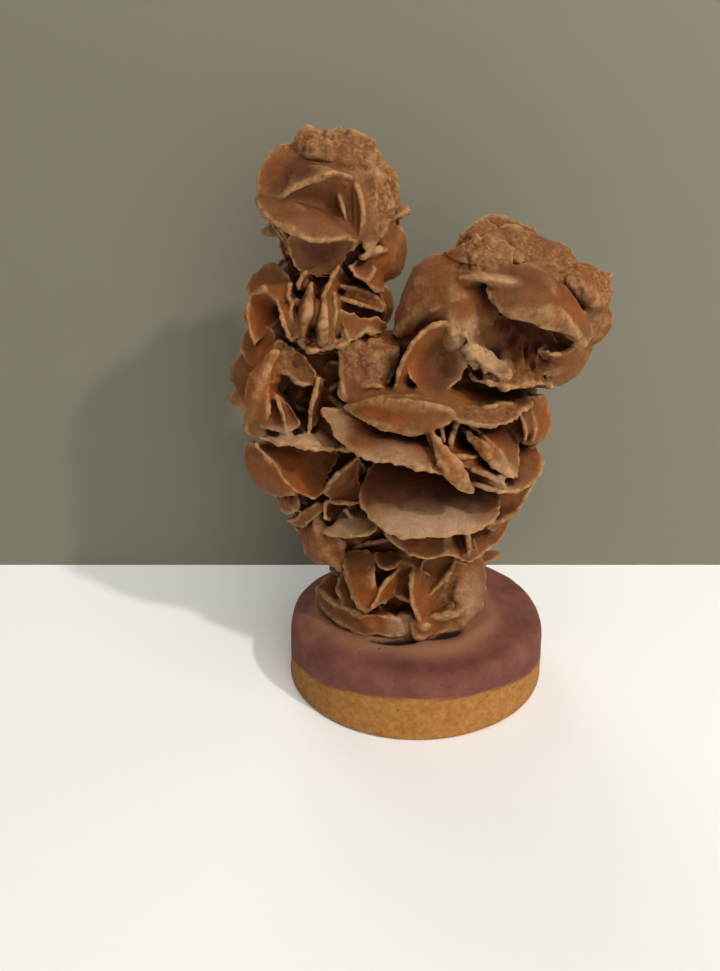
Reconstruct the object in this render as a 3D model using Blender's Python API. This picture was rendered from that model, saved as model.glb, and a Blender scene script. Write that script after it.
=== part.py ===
"""A gypsum sand rose, grown as one cluster of crossing lens-shaped blades, set in a cast mortar base.

Lengths in the tables are millimetres and angles are degrees. The frame has +Z up, the origin at the
centre of the base's underside, -Y towards the side that the rose shows, and +X to that side's right.
"""

import math
from collections import namedtuple

import bmesh
import bpy
import numpy as np
from mathutils import Vector

MM = 0.001
CLEARANCE = 0.3                # between the crystal and the mortar that it sits in

# ---- The base: a cast disc with a rounded top edge and a low mound that carries the crystal.
BASE_RADIUS = 33.8
BASE_FLARE = 0.5               # the foot is this much larger in radius
BASE_HEIGHT = 17.9
BASE_ROUNDING = 3.8
BASE_FOOT_BEVEL = 0.6
BASE_OVAL = (0.02, 0.016)      # how far it is from round, along X and along the diagonal
MOUND_RADIUS = 26.0            # where the mound meets the flat of the top
MOUND_TOP_RADIUS = 14.0        # the flat that the crystal stands on
MOUND_HEIGHT = 1.8
BASE_SIDES = 56

# ---- The crystal's skin.
GROWTH_GRAIN = 0.57            # the finest step of the skin in which the blades have grown together
ROSE_TRIANGLES = 8450          # that skin is then flattened to about this many faces
SNAP = 0.25                    # a corner nearer than this to the cut under the foot is moved off it
SHORTEST_EDGE = 0.02           # edges shorter than this are closed up

# ---- The blades. Three kinds share one lens-like section: thick inside, thin at the rim.
BLADE_SIDES = 18               # corners round a whole blade
RIM_STEPS = 3                  # steps between two points of a plate's or a fin's rim
BLADE_SHARES = (0.45, 0.75, 0.92)  # where a blade's inner rings lie, from the middle (0) to the rim (1)
LENS_POWER = 2.6               # how late towards the rim a blade thins
RIM_WIDTH = 1.1                # a rim is never thinner than this
FIN_FLARE = 0.5                # a fin's root is thicker than its outer part by this share

# A whole lens, used where a blade is simply round. place: its middle. normal: the way it faces.
# along: the direction of its half width; tall is its other half size.
Lens = namedtuple("Lens", "place normal along wide tall thick")

# A plate shows its whole face. rim: points round its edge, in order. middle: a point of the face;
# nearer the front than the rim it bulges, and further back it is sunk.
Plate = namedtuple("Plate", "thick middle rim")

# A fin stands on edge and shows one free edge. root: the point within the cluster from which it
# spreads. rim: points along the free edge.
Fin = namedtuple("Fin", "thick root rim")

# A rosette is a knot of blades about one middle, with a solid heart where they have grown together.
# heart: half sizes of that heart. sprays: number of lenses that fill its sides and back, their
# half size, and how far out their middles lie.
Rosette = namedtuple("Rosette", "name middle heart sprays spray_size spray_reach blades")

CROWN = Rosette(
    "crown", (-21, 7, 118.5), (14, 11, 16), 9, 9.5, 5.0,
    [
        # sunken face at the upper left
        Plate(3.5, (-29, -2, 128.5), [
            (-38, -4, 125), (-36, -1, 131.5), (-33, 1, 134), (-28, 2, 134), (-21, 0, 132),
            (-17, -6, 127.5), (-20, -9, 128.5), (-25, -9, 127), (-30, -9, 125), (-33, -7, 123.5),
        ]),
        # bright shelf across the front
        Plate(2.8, (-27, -7, 119), [
            (-38, -4, 124), (-32, -6, 123), (-26, -3, 122), (-20, -3, 119), (-17, -7, 116),
            (-21, -12, 115), (-26, -13, 115.5), (-31, -12, 117.5), (-36, -8, 120),
        ]),
        Fin(2.6, (-20, 3, 120), [(-17, -6, 127.5), (-15, -8, 124), (-14.5, -8, 119), (-17, -6, 112)]),
        Fin(2.4, (-21, 3, 123), [(-20, -4, 126), (-19, -5.5, 123.5), (-18.5, -6, 119.5)]),
        # dish under the shelf
        Plate(2.4, (-24, -3, 111), [
            (-30.5, -9, 116), (-30.5, -7, 111), (-28, -6, 108), (-24.5, -6, 107),
            (-21, -6, 107.5), (-18, -6, 111.5), (-16.5, -8, 115), (-23, -9, 115),
        ]),
        Fin(3.0, (-27, 4, 117), [(-37, -4, 121), (-35, -3, 117.5), (-32.5, -2, 114), (-31, -1, 110.5)]),
        Fin(1.6, (-26, 4, 115), [(-34, -6, 119), (-32, -6, 116), (-31, -6, 112)]),
        # rough top, with two bumps
        Plate(5.0, (-25, 1, 133.5), [
            (-31, 0, 131.5), (-28.5, 2, 135), (-24, 2, 136), (-20, 2, 135.5), (-17, 1, 134),
            (-20, -4, 131), (-26, -4, 131),
        ]),
        Fin(4.0, (-25, 5, 126), [(-30, 0, 133.5), (-28, 0, 136), (-26, 0, 137), (-24.5, -1, 134)]),
        Fin(3.5, (-20, 5, 126), [(-23, -2, 133), (-21.5, 1, 137), (-20, 2, 138), (-18.5, 2, 136)]),
        # rough crown and shoulder at the right
        Plate(6.0, (-15, 2, 131.5), [
            (-20, 1, 136), (-15, 2, 135.5), (-12.5, 3, 133.5), (-11.5, 2, 130.5), (-14, -4, 127.5),
            (-18, -5, 128.5), (-21, -3, 132),
        ]),
        Plate(4.5, (-10.5, 1, 124), [
            (-12, 2, 131.5), (-9, 4, 130), (-7.5, 4, 126.5), (-8, 4, 123), (-8.5, 3, 119),
            (-12, -3, 117.5), (-14, -4, 121.5), (-14, -3, 127),
        ]),
        Fin(1.6, (-12, 4, 121), [(-8, 2.5, 122.5), (-6, 3, 121), (-8, 3, 119.5)]),
        # rough band between the recess and the shoulder
        Plate(4.0, (-12.5, -3, 122), [
            (-17, -6, 128), (-12, -4, 129), (-9, -1, 126), (-8.5, 0, 121), (-10, -3, 116),
            (-14, -6, 113), (-15.5, -7, 118), (-16, -7, 123),
        ]),
        # disc at the lower right and the small blades before it
        Plate(3.2, (-10, 2, 110), [
            (-9, 5, 118), (-6, 6, 116.5), (-4.5, 7, 111.5), (-6, 6, 106.5), (-10, 4, 104),
            (-14, 0, 105.5), (-15, -2, 110), (-13, 1, 116),
        ]),
        Plate(1.4, (-12, -2, 112.5), [
            (-15.5, -6, 111), (-13, -5.5, 112.5), (-9, -1, 112), (-11, 3, 113), (-15, 3, 113),
        ]),
        Fin(1.8, (-15, 5, 118), [(-14, -6, 121.5), (-12, -6, 120.5), (-9.5, -2, 119)]),
        Fin(1.8, (-16, 5, 115), [(-14.5, -7, 117), (-12, -5, 117), (-9, -1, 116.5)]),
        Fin(2.0, (-15, 3, 110), [(-18, -7, 109.5), (-16, -8, 107), (-13.5, -7, 106.5), (-11.5, -4, 108.5)]),
        Fin(2.0, (-12, 4, 108), [(-14, -5, 106), (-12, -4, 103.5), (-10, 0, 102.5)]),
    ],
)

COLLAR = Rosette(
    "collar", (-24, 7, 99), (15, 10, 13), 7, 8.5, 5.0,
    [
        # pale face at the upper left, with the lit blade and the hollow under it
        Plate(3.2, (-36, -3, 104), [
            (-41.5, 0, 104.5), (-39, 1, 107.5), (-35, 0, 109), (-31, -4, 106.5), (-31.5, -7, 103),
            (-34.5, -8, 102.5), (-37, -7, 104), (-40, -4, 102.5),
        ]),
        Fin(2.6, (-34, 4, 98), [(-40.5, -4, 103), (-41.5, -5, 99), (-41, -5, 95), (-40, -6, 91)]),
        Fin(2.2, (-35, 4, 101), [(-40, -5, 103), (-37, -7, 104), (-34.5, -8, 102.5), (-33, -8, 101.5)]),
        Fin(2.4, (-30, 4, 98), [(-34.5, -9, 103), (-33, -10, 99.5), (-32, -10, 95.5), (-31, -8, 92.5)]),
        Fin(1.7, (-28, 4, 99), [(-29.5, -7, 102.5), (-31, -9, 100.5), (-30.5, -9, 96.5), (-30, -8, 93.5)]),
        Fin(1.8, (-36, 4, 97), [(-42, -1, 98.5), (-43.5, 0, 97.5), (-42, -1, 95)]),
        # short blades under the crown
        Fin(2.0, (-26, 4, 104), [(-27.5, -6, 108.5), (-29, -7, 106), (-29.5, -7, 104)]),
        Fin(1.8, (-31, 4, 103), [(-31, -6, 106), (-31.5, -8, 103), (-30.5, -8, 101)]),
        Fin(2.2, (-20, 4, 104), [(-20, -6, 110), (-22, -8, 106.5), (-23.5, -9, 103.5), (-24.5, -8, 101)]),
        # the upright spindles
        Plate(3.0, (-27.5, -10, 99.5), [
            (-26.5, -6, 106), (-29, -8, 101.5), (-29.5, -8, 97.5), (-28.5, -7, 94.5), (-26.5, -6, 96),
            (-25, -7, 99), (-25.5, -8, 102),
        ]),
        Fin(3.0, (-26, 4, 100), [(-26.5, -6, 106), (-27, -9, 101), (-28, -9, 96), (-28.5, -7, 94)]),
        Plate(2.8, (-24, -11, 97.5), [
            (-23.5, -6, 105), (-25, -8, 101), (-25.5, -9, 97), (-24.5, -8, 92.5), (-23.5, -7, 91.5),
            (-22.5, -8, 95), (-22.5, -7, 100),
        ]),
        Fin(2.8, (-23, 4, 98), [(-23.5, -6, 105), (-24.5, -9, 100), (-24.5, -9, 95), (-24, -7, 91.5)]),
        Fin(2.0, (-19, 4, 98), [(-21.5, -7, 104), (-21, -9, 99.5), (-21.5, -9, 95.5), (-22.5, -8, 91)]),
        Fin(1.4, (-17, 4, 97), [(-20, -7, 98), (-19.5, -8, 95), (-18.5, -7, 92.5)]),
        # the fan at the right
        Plate(2.2, (-15, -1, 102.5), [
            (-20, -5, 105), (-16.5, -4, 104), (-12.5, -2, 102), (-9, 0, 99), (-12, 3, 101),
            (-17, 3, 104), (-21, 1, 105),
        ]),
        Fin(2.0, (-18, 4, 101), [(-20, -7, 102.5), (-16, -6, 101), (-12.5, -3, 99.5), (-9.5, -1, 98)]),
        Plate(2.4, (-14.5, -4, 96.5), [
            (-20, -8, 100), (-15, -6, 98), (-10.5, -2, 97), (-9, -1, 93.5), (-12, -5, 94),
            (-15, -7, 94.5), (-18, -8, 93),
        ]),
        Fin(2.2, (-15, 4, 95), [(-18, -8, 93), (-15, -7, 94.5), (-12, -5, 94), (-9, -1, 93.5)]),
        Fin(2.2, (-25, 5, 94), [(-29.5, -8, 93), (-27.5, -9, 91), (-24, -9, 91), (-18, -7, 92.5)]),
    ],
)

CAGE = Rosette(
    "cage", (-27, 9, 79), (16, 10, 14), 7, 10.0, 4.5,
    [
        # the arch: a broad band down the left and a hood to the right
        Plate(4.0, (-38, -8.5, 84), [
            (-34.5, -4, 92.5), (-37.5, -8, 89), (-40.5, -9, 85.5), (-42, -9, 80), (-42.5, -7, 73),
            (-38.5, -4, 78), (-35.5, -4, 83), (-34, -2, 89),
        ]),
        Fin(3.6, (-33, 4, 83), [(-34.5, -5, 92.5), (-38, -8, 87.5), (-40.5, -8, 82), (-41, -7, 75)]),
        Plate(2.4, (-30, -3, 87), [
            (-35, -6, 92.5), (-31, -6, 91), (-27, -7, 87.5), (-25.5, -8, 83), (-29.5, -8, 83),
            (-32, -8, 85), (-34.5, -7, 86),
        ]),
        Fin(2.4, (-30, 5, 87), [(-34.5, -7, 86), (-32, -8, 85), (-29.5, -8, 83), (-25.5, -8, 83)]),
        Plate(3.0, (-39.5, -1, 91.5), [
            (-42.5, 0, 93.5), (-38, -3, 96), (-35, -4, 93.5), (-37.5, -6, 89.5), (-40, -6, 86),
            (-44, -1, 89),
        ]),
        # plates at the far left
        Plate(2.8, (-43, -1, 84), [
            (-44, 2, 88), (-46.5, 2, 84.5), (-47, 2, 81), (-45.5, 0, 80), (-43, -3, 81.5),
            (-39.5, -6, 84), (-40, -4, 87),
        ]),
        Plate(3.0, (-43, -3, 78.5), [
            (-48, 1, 76.5), (-45.5, -1, 79.5), (-43, -3, 81.5), (-40.5, -6, 82.5), (-41.5, -7, 78),
            (-43.5, -4, 76), (-46, -1, 75),
        ]),
        # thin blades in the hollow
        Fin(2.0, (-34, 2, 74.5), [(-35.5, -8, 82.5), (-33, -10, 80), (-31, -11, 78.5), (-29, -11, 76.5)]),
        Fin(1.8, (-24.5, 3, 77), [(-25, -9, 85), (-26, -11, 81), (-27, -12, 77.5), (-27.5, -11, 71.5)]),
        Fin(1.6, (-27, 3, 74), [(-30, -9, 74.5), (-28, -12, 75), (-25, -12, 75.5)]),
        # shelf with the bright rim
        Plate(3.2, (-30, -4, 70), [
            (-42, -5, 70.5), (-39, -10, 70), (-35, -13, 70), (-30, -15, 70), (-25, -15, 69),
            (-20, -12, 68), (-17, -7, 66.5), (-20, 0, 71), (-28, 3, 73), (-38, 1, 72.5),
        ]),
    ],
)

WING = Rosette(
    "wing", (-26, 8, 59), (16, 11, 14), 6, 9.5, 4.0,
    [
        # round plate at the left
        Plate(3.6, (-39, -4, 60), [
            (-43, -4, 67.5), (-44.5, 0, 62), (-43.5, 2, 56.5), (-40, 1, 52), (-35, -4, 52.5),
            (-31.5, -10, 56), (-35, -11, 61.5), (-38.5, -10, 66.5),
        ]),
        Fin(2.8, (-32, 5, 62), [(-42, -5, 67), (-40, -7, 64), (-36.5, -9, 61), (-33.5, -8, 57)]),
        # bowl under the shelf
        Plate(2.4, (-28, -2, 62), [
            (-40, -9, 68.5), (-37, -11, 65), (-34, -12, 60.5), (-31, -12, 57), (-28, -12, 55.5),
            (-25, -11, 55.5), (-23, -8, 60), (-20.5, -6, 65), (-28, -5, 67),
        ]),
        # plate at the right
        Plate(2.6, (-18.5, -7, 57), [
            (-24, -10, 55.5), (-23, -11, 59), (-20, -12, 62.5), (-17, -11, 65), (-15.5, -9, 65.5),
            (-15.5, -10, 59.5), (-15.5, -11, 54), (-20, -11, 54),
        ]),
        Fin(2.4, (-15, 3, 58), [(-24, -10, 55), (-23, -11, 59), (-20, -12, 62.5), (-16, -10, 65.5)]),
        Fin(2.0, (-18, 3, 54), [(-24, -10, 53.5), (-20, -13, 54.5), (-15.5, -12, 54)]),
        Fin(1.6, (-22, 3, 51), [(-24, -11, 53.5), (-24, -11, 50), (-23, -10, 48)]),
        Fin(2.0, (-16, 1, 50), [(-19.5, -11, 52), (-17, -12, 49.5), (-15, -12, 48.5)]),
        # small round plate and the pink leaf
        Plate(2.8, (-34, -1, 50), [
            (-36, 2, 51.5), (-37, 2, 48.5), (-35.5, 0, 46), (-32.5, -5, 48), (-30.5, -8, 51.5),
            (-31, -6, 54), (-33.5, -1, 54),
        ]),
        Plate(2.4, (-29.5, -4, 47), [
            (-35, 0, 43.5), (-32.5, -4, 46.5), (-29, -7, 50.5), (-25.5, -9, 53), (-25, -9, 50.5),
            (-27.5, -7, 47), (-30, -2, 43),
        ]),
    ],
)

HIP = Rosette(
    "hip", (-18, 5, 45), (16, 12, 15), 6, 9.0, 4.5,
    [
        Plate(3.0, (-27, -3, 38.5), [
            (-27, -6, 46), (-29.5, -2, 42.5), (-31, 1, 38), (-30, 2, 33.5), (-27, 1, 31),
            (-25, -3, 32.5), (-24.5, -8, 39),
        ]),
        # orange lens
        Plate(3.2, (-24, -9, 41), [
            (-26.5, -7, 48), (-28, -7, 43), (-27.5, -7, 39), (-25, -8, 36), (-20, -9, 34),
            (-19.5, -9, 39), (-20, -9, 43),
        ]),
        Fin(2.8, (-19, 4, 42), [(-26, -7, 49), (-28, -7, 44), (-27.5, -7, 39), (-24.5, -8, 35.5)]),
        # pale pointed leaf
        Plate(2.4, (-17.5, -12, 48), [
            (-25, -12, 46.5), (-21.5, -11, 48.5), (-17.5, -8, 50), (-13, -8, 50.5), (-10.5, -11, 49),
            (-13, -15, 47.5), (-17, -17, 47.5), (-21, -15, 46.5),
        ]),
        Fin(2.0, (-10, 2, 46), [(-13.5, -12, 50), (-10.5, -13, 50.5), (-8.5, -14, 48), (-8, -14, 44.5)]),
    ],
)

BREAST = Rosette(
    "breast", (5, 1, 75), (24, 14, 18), 10, 12.0, 6.0,
    [
        # pitted plate
        Plate(3.4, (-13.5, -9, 87), [
            (-20, -6, 91.5), (-17, -3, 93.5), (-12, -2, 94), (-7, -2, 93.5), (-6, -6, 90),
            (-8.5, -11, 84.5), (-13, -14, 81.5), (-19.5, -13, 80.5), (-20.5, -10, 85.5),
        ]),
        Fin(3.0, (-16, 2, 86), [(-18, -6, 92.5), (-19.5, -10, 88), (-19.5, -13, 83.5), (-18, -14, 80.5)]),
        Fin(1.8, (-12, 2, 84), [(-15, -14, 84), (-12.5, -15, 84.5), (-10, -14, 83.5)]),
        # thick curved blade
        Fin(4.2, (4, 2, 88), [
            (-8, -16, 81.5), (-7.5, -16, 86.5), (-5.5, -16.5, 92), (-2, -16.5, 96.5), (1.5, -16, 98.5),
            (5, -14, 98),
        ]),
        Plate(3.0, (2, -9.5, 90), [
            (-3, -14, 94), (1, -14.5, 96.5), (5, -13.5, 96), (8, -14, 91), (7, -15, 86),
            (3, -16, 83.5), (-2, -16, 84), (-5, -15.5, 88),
        ]),
        Plate(2.4, (2, -16, 82), [
            (-5, -15, 83.5), (0, -14, 84), (5, -13, 83.5), (8, -16, 81), (5, -20, 80), (-1, -20, 80.5),
        ]),
        # sandy crest
        Fin(3.6, (15, 2, 88), [(4.5, -12, 98), (7, -14, 97), (9, -17, 92), (14, -19, 88), (18, -19, 87.5)]),
        Fin(2.6, (13, 3, 95), [(6, -11, 100), (9.5, -11, 98.5), (10.5, -13, 95.5)]),
        # the shaded crust beyond it, and its ribs
        Plate(3.0, (19, -5, 91), [
            (8, -10, 97), (14, -6, 99), (22, -4, 98), (29, -2, 94), (31, -3, 88), (25, -7, 84),
            (16, -11, 84), (10, -13, 89),
        ]),
        Fin(2.0, (12, 3, 92), [(12.5, -10, 96.5), (12, -13, 92), (11.5, -15, 88)]),
        Fin(1.6, (15, 3, 92), [(15.5, -8, 96), (15, -11.5, 92), (15.5, -14, 87.5)]),
        Fin(2.2, (19, 3, 91), [(18, -7, 95.5), (18.5, -10, 91.5), (18, -13, 87)]),
        Fin(1.5, (21, 3, 91), [(20.5, -6, 94), (21.5, -9, 90), (21, -12, 86.5)]),
        Fin(2.0, (25, 3, 90), [(24, -5, 93), (25, -8, 89.5), (24.5, -10, 86)]),
        # upper shelf at the right
        Plate(2.8, (19, -8, 85.5), [
            (9.5, -15, 86), (13, -19, 86), (18, -20, 85.5), (23, -18, 85.5), (27.5, -13, 84),
            (29, -8, 82.5), (26, -2, 86), (17, 0, 88), (11, -6, 88),
        ]),
        # wavy shelf
        Plate(2.8, (12, -13, 80), [
            (1.5, -20, 81.5), (5, -22, 79), (9, -23.5, 78), (13.5, -23, 77.5), (18, -21, 78),
            (21.5, -17, 79), (24, -13, 80), (20, -6, 82), (10, -5, 83), (4, -12, 83),
        ]),
        Fin(1.6, (16, -2, 80), [(11, -19, 80), (15, -19, 81), (19, -17, 80.5)]),
        # shaded wall under it
        Plate(2.2, (16, -9, 72), [
            (10, -13, 76.5), (18, -13, 77), (21, -12, 73), (20, -14, 69), (15, -14, 68), (11, -12, 70),
        ]),
        # lump at the right, with its ribs
        Plate(6.0, (25.5, -7, 74), [
            (22, -12, 79.5), (27, -8, 80.5), (29, -6, 77), (30, -5, 73.5), (29, -6, 69.5),
            (26, -9, 68), (22.5, -12, 70), (21.5, -14, 75),
        ]),
        Fin(1.8, (25, 0, 74), [(21, -15, 78), (22, -16, 75), (22.5, -16, 71.5)]),
        Fin(1.8, (27, 0, 74), [(24, -13, 78), (25, -14, 74.5), (24.5, -14, 70.5)]),
        # long blade over the crack
        Plate(3.0, (-6, -19, 78.5), [
            (-19, -14, 79), (-15.5, -16, 81), (-10, -18.5, 82.5), (-3.5, -20, 83), (2, -21, 82),
            (6, -21, 79.5), (2, -21.5, 76.5), (-4, -21, 74.5), (-9, -20, 75), (-14, -18, 76.5),
        ]),
        Fin(2.6, (0, 0, 81), [(-18, -13, 79.5), (-10, -18, 82.5), (-3.5, -19, 83), (2, -20, 82)]),
        # long shelf with the pale tip
        Plate(3.2, (-9, -16, 72.5), [
            (-24, -12, 77.5), (-22, -15, 73.5), (-18, -19, 71), (-14, -22, 69.5), (-9, -24, 69.5),
            (-4, -25.5, 69), (1, -26.5, 68), (5, -25, 67.5), (6, -14, 69), (-3, -13, 70.5),
            (-13, -12, 72.5), (-20, -10, 77),
        ]),
        Fin(2.8, (0, 0, 73), [(-22, -14, 73.5), (-14, -21, 70), (-4, -24, 69), (5, -24, 67.5)]),
        # blades that cross in front
        Fin(2.8, (9, -3, 67), [
            (-1, -20, 76), (0.5, -23, 73), (3, -26, 69.5), (6, -28, 66), (9.5, -28, 63.5),
        ]),
        Fin(1.5, (5, -3, 75), [(2, -19, 80), (2.5, -21, 77), (3, -22, 73)]),
        Fin(1.4, (9, -3, 74), [(6, -19, 77), (5, -21, 73.5), (4.5, -22, 70)]),
        Fin(3.0, (20, -2, 69), [
            (8.5, -18, 76.5), (12, -21, 74.5), (15, -24, 72), (17, -25, 69), (19.5, -25, 66),
        ]),
        Plate(1.6, (8, -18, 69.5), [
            (3.5, -23, 70.5), (7, -24, 70.5), (11, -22, 70), (12, -17, 69.5), (8, -10, 69.5),
            (4, -14, 70),
        ]),
        Plate(2.5, (11, -20, 67), [(8.5, -22, 68), (12, -22.5, 68), (13.5, -18, 66.5), (11, -17, 65.5)]),
        Fin(2.2, (14, -4, 64), [(5.5, -23, 69), (9, -26, 68.5), (12.5, -27, 67.5), (16.5, -28, 65.5)]),
        # plate at the lower right
        Plate(3.0, (19, -15, 64.5), [
            (9, -24, 65), (14, -27, 64), (18, -27, 63.5), (22, -24, 63.5), (26, -18, 63.5),
            (28, -12, 65.5), (25, -6, 68), (18, -5, 67.5), (11, -14, 66.5),
        ]),
    ],
)

BELLY = Rosette(
    "belly", (8, 1, 56), (21, 14, 15), 8, 12.0, 5.0,
    [
        # the big pale disc, its upper half sunk
        Plate(4.2, (2, -16, 56.5), [
            (-15.5, -14, 58.5), (-15, -17, 55.5), (-12, -21, 53), (-6, -25, 51.5), (0, -26, 52),
            (6, -26, 52.5), (11, -25, 53), (15, -22, 53.5), (18, -17, 56), (15, -7, 60),
            (4, -2, 64), (-7, -3, 64.5), (-13, -8, 62.5),
        ]),
        # plate under it
        Plate(3.0, (5, -11, 48), [
            (-9.5, -15, 49), (-8, -18, 47), (-4, -20, 44.5), (1, -20, 43), (6, -20, 44),
            (11, -18, 41), (15, -15, 42), (19, -11, 43), (21, -6, 48), (12, -4, 53), (-2, -4, 53),
        ]),
        # plates at the right
        Plate(3.0, (20, -8, 50), [
            (15, -18, 51), (19, -17, 52), (23.5, -11, 52), (26.5, -4, 53), (25, -2, 48),
            (22, -5, 45), (17, -12, 46.5),
        ]),
        Plate(3.0, (21, -6, 59), [
            (17, -16, 60), (22, -16, 60.5), (26, -10, 61), (28, -5, 62), (26, 0, 58),
            (22, -2, 55), (17, -10, 56),
        ]),
        Fin(1.8, (10, 0, 46), [(10, -19, 51), (10.5, -20, 47), (11, -18, 42.5)]),
        Fin(1.6, (13, -2, 42), [(12, -15, 46), (13, -16, 43), (14, -14, 40)]),
    ],
)

HEAD = Rosette(
    "head", (23, 5, 98), (18, 12, 18), 10, 12.0, 5.0,
    [
        # big smooth blade at the left
        Plate(4.6, (-0.5, -9, 101), [
            (-7, -4, 93), (-7, -3, 97.5), (-5.5, -1, 102.5), (-4, 0, 106.5), (-1, 0, 110),
            (3, -2, 111.5), (7, -8, 108), (7, -10, 103), (5, -10, 98.5), (0, -8, 95),
        ]),
        Fin(4.0, (10, 4, 101), [(-7, -4, 94), (-6, -2, 101), (-3, 0, 107.5), (3, -1, 111)]),
        # pale band above it
        Plate(3.0, (11, -5, 113), [
            (3.5, -3, 112), (7, -5, 113.5), (10, -5, 115), (14, -5, 115), (18, -5, 113.5),
            (18, -10, 110.5), (13.5, -12, 110.5), (9.5, -11, 110.5), (5.5, -8, 111),
        ]),
        # the blade's broad face, grown into the rest
        Plate(5.0, (2, -7, 101), [
            (-4, -4, 92), (-5, -6, 98), (-3, -5, 104), (0, -3, 109), (5, -6, 110), (10, -9, 107),
            (11, -11, 101), (8, -12, 95), (2, -10, 90),
        ]),
        # mounds along the top
        Plate(6.0, (12, 2, 114), [
            (7, 0, 114), (9, 2, 116), (12, 3, 117.5), (15, 3, 117), (16.5, 0, 115), (15, -5, 113),
            (10, -5, 113),
        ]),
        Plate(4.0, (19.5, 1, 113), [
            (16.5, 3, 116.5), (19, 4, 117.5), (22, 4, 116), (24.5, 3, 113), (23, -3, 110),
            (19, -5, 110.5), (17, -3, 113),
        ]),
        Plate(3.6, (27.5, 0, 108.5), [
            (24, 3, 113), (28, 4, 112), (31, 4, 110.5), (33, 3, 108), (30, -4, 105.5), (26, -6, 106),
            (22, -5, 109.5),
        ]),
        # drooping blade over the hollow
        Plate(4.2, (25, -15, 102), [
            (12, -14, 105.5), (16, -10, 109.5), (20.5, -9, 110), (25, -9, 108.5), (29, -8, 105.5),
            (32.5, -7, 102.5), (35.5, -7, 98.5), (37, -9, 94.5), (35, -13, 93), (31, -16, 96),
            (26, -18, 97.5), (21, -19, 99.5), (15, -18, 101),
        ]),
        # pale leaf in the recess above it
        Plate(1.8, (11.5, -11, 108), [
            (5.5, -11, 107.5), (10, -15, 108), (14, -16, 107.5), (18, -15, 107), (18, -7, 107.5),
            (11, -4, 108.5),
        ]),
        # pitted disc and the plates at the far right
        Plate(4.2, (37, -2, 103.5), [
            (31, -4, 106.5), (35, 2, 108.5), (39, 4, 108), (42.5, 5, 105.5), (44.5, 4, 102),
            (43, 1, 98.5), (38, -5, 100), (34, -6, 102.5),
        ]),
        Plate(3.2, (39, -2, 95), [
            (35, -5, 99), (40, -2, 99), (44, 1, 98), (44.5, 2, 94.5), (42, 1, 90.5), (38, -3, 91.5),
            (35, -6, 95),
        ]),
        Plate(3.6, (34, -3, 86.5), [
            (30, -7, 89.5), (36, -4, 92), (40, 0, 90), (39.5, 2, 86), (37.5, 1, 83), (33.5, -1, 81),
            (29.5, -5, 82), (27.5, -8, 85.5),
        ]),
        Fin(2.4, (30, 1, 88), [(24, -13, 92), (27, -14, 91.5), (30, -12, 91), (34, -9, 92)]),
        Fin(3.0, (30, 6, 88), [(26, -6, 87), (29, -5, 83), (33, -3, 81)]),
        Fin(2.4, (13, 1, 102), [(6, -10, 108.5), (7, -13, 103.5), (6.5, -14, 99), (8, -14, 95)]),
        Fin(1.6, (14, 1, 100), [(9, -11, 104), (10, -12, 101), (9.5, -12, 98)]),
    ],
)

FOOT = Rosette(
    "foot", (0, 1, 30), (19, 15, 16), 8, 12.0, 6.0,
    [
        # orange lens
        Plate(3.4, (-15.5, -13, 33), [
            (-19, -8, 38.5), (-19.5, -11, 35), (-18.5, -14, 31.5), (-16.5, -17, 28.5), (-13.5, -19, 27),
            (-11.5, -18, 31), (-11.5, -16, 34.5), (-12.5, -10, 40),
        ]),
        Fin(3.0, (-8, -3, 33), [(-19, -8, 38), (-19, -12, 33), (-17, -16, 29), (-13.5, -18, 27)]),
        Plate(1.9, (-9, -11, 38.5), [
            (-12, -11, 40), (-8, -10, 40), (-4, -10, 39), (-7, -16, 38.5), (-10.5, -16, 38.5),
        ]),
        # folds at the foot's left
        Fin(3.4, (-13, -4, 28), [
            (-20, -7, 33), (-21.5, -9, 29), (-20.5, -12, 26.5), (-18.5, -15, 24.5), (-15, -17, 24.5),
        ]),
        Fin(4.0, (-14, -2, 24), [
            (-24, -1, 28.5), (-27, -3, 25), (-26.5, -6, 23), (-24, -10, 21.5), (-19, -14, 21),
        ]),
        # the wedge and the upright ridge, with a hollow between them
        Fin(3.0, (-5, -4, 28), [
            (-3, -11, 38.5), (-7, -15, 36.5), (-10, -18, 34.5), (-11.5, -20, 32), (-13, -21, 29.5),
        ]),
        Fin(3.0, (4, -4, 30), [
            (-1, -10, 38.5), (-2.5, -15, 36), (-3, -18, 33.5), (-2.5, -20, 30.5), (-1, -20, 26.5),
            (0, -18, 21.5),
        ]),
        Plate(3.4, (-10, -15, 23.5), [
            (-15, -17, 25.5), (-9, -18, 26), (-5, -18, 24), (-5, -19, 20.5), (-12, -18, 20.5),
            (-16, -15, 21),
        ]),
        Plate(4.0, (-0.5, -17, 22), [
            (-3, -18, 25), (1, -19, 25), (3.5, -17, 22), (2, -18, 20), (-2, -19, 20),
        ]),
        # shaded wall and the pale column at the right
        Plate(2.5, (4, -7, 30), [
            (0, -13, 38), (5, -11, 39.5), (9, -9, 37.5), (9, -10, 30), (8, -13, 24), (2, -16, 21.5),
            (0, -17, 28),
        ]),
        Plate(4.2, (11, -9, 30), [
            (8, -7, 39), (13, -5, 39), (16.5, -5, 35), (17.5, -6, 29), (16.5, -8, 23),
            (12, -13, 20.5), (8.5, -14, 22), (8, -12, 30),
        ]),
    ],
)

ROSETTES = (CROWN, COLLAR, CAGE, WING, HIP, BREAST, BELLY, HEAD, FOOT)

# ---- The lenses over the sides and back: ranges of their sizes, as shares of a rosette's spray size.
SPRAY_SIZES = (0.75, 1.1)
SPRAY_SQUATNESS = (0.7, 0.95)
SPRAY_THICKNESS = (0.2, 0.28)
SPRAY_LIFT = 0.25              # how far a lens leans from standing on edge
SPRAY_DEPTH = 0.55             # where its middle lies between the rosette's middle and its reach
SPRAY_FRONT_LIMIT = 0.1        # none stands further to the front than this

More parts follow.
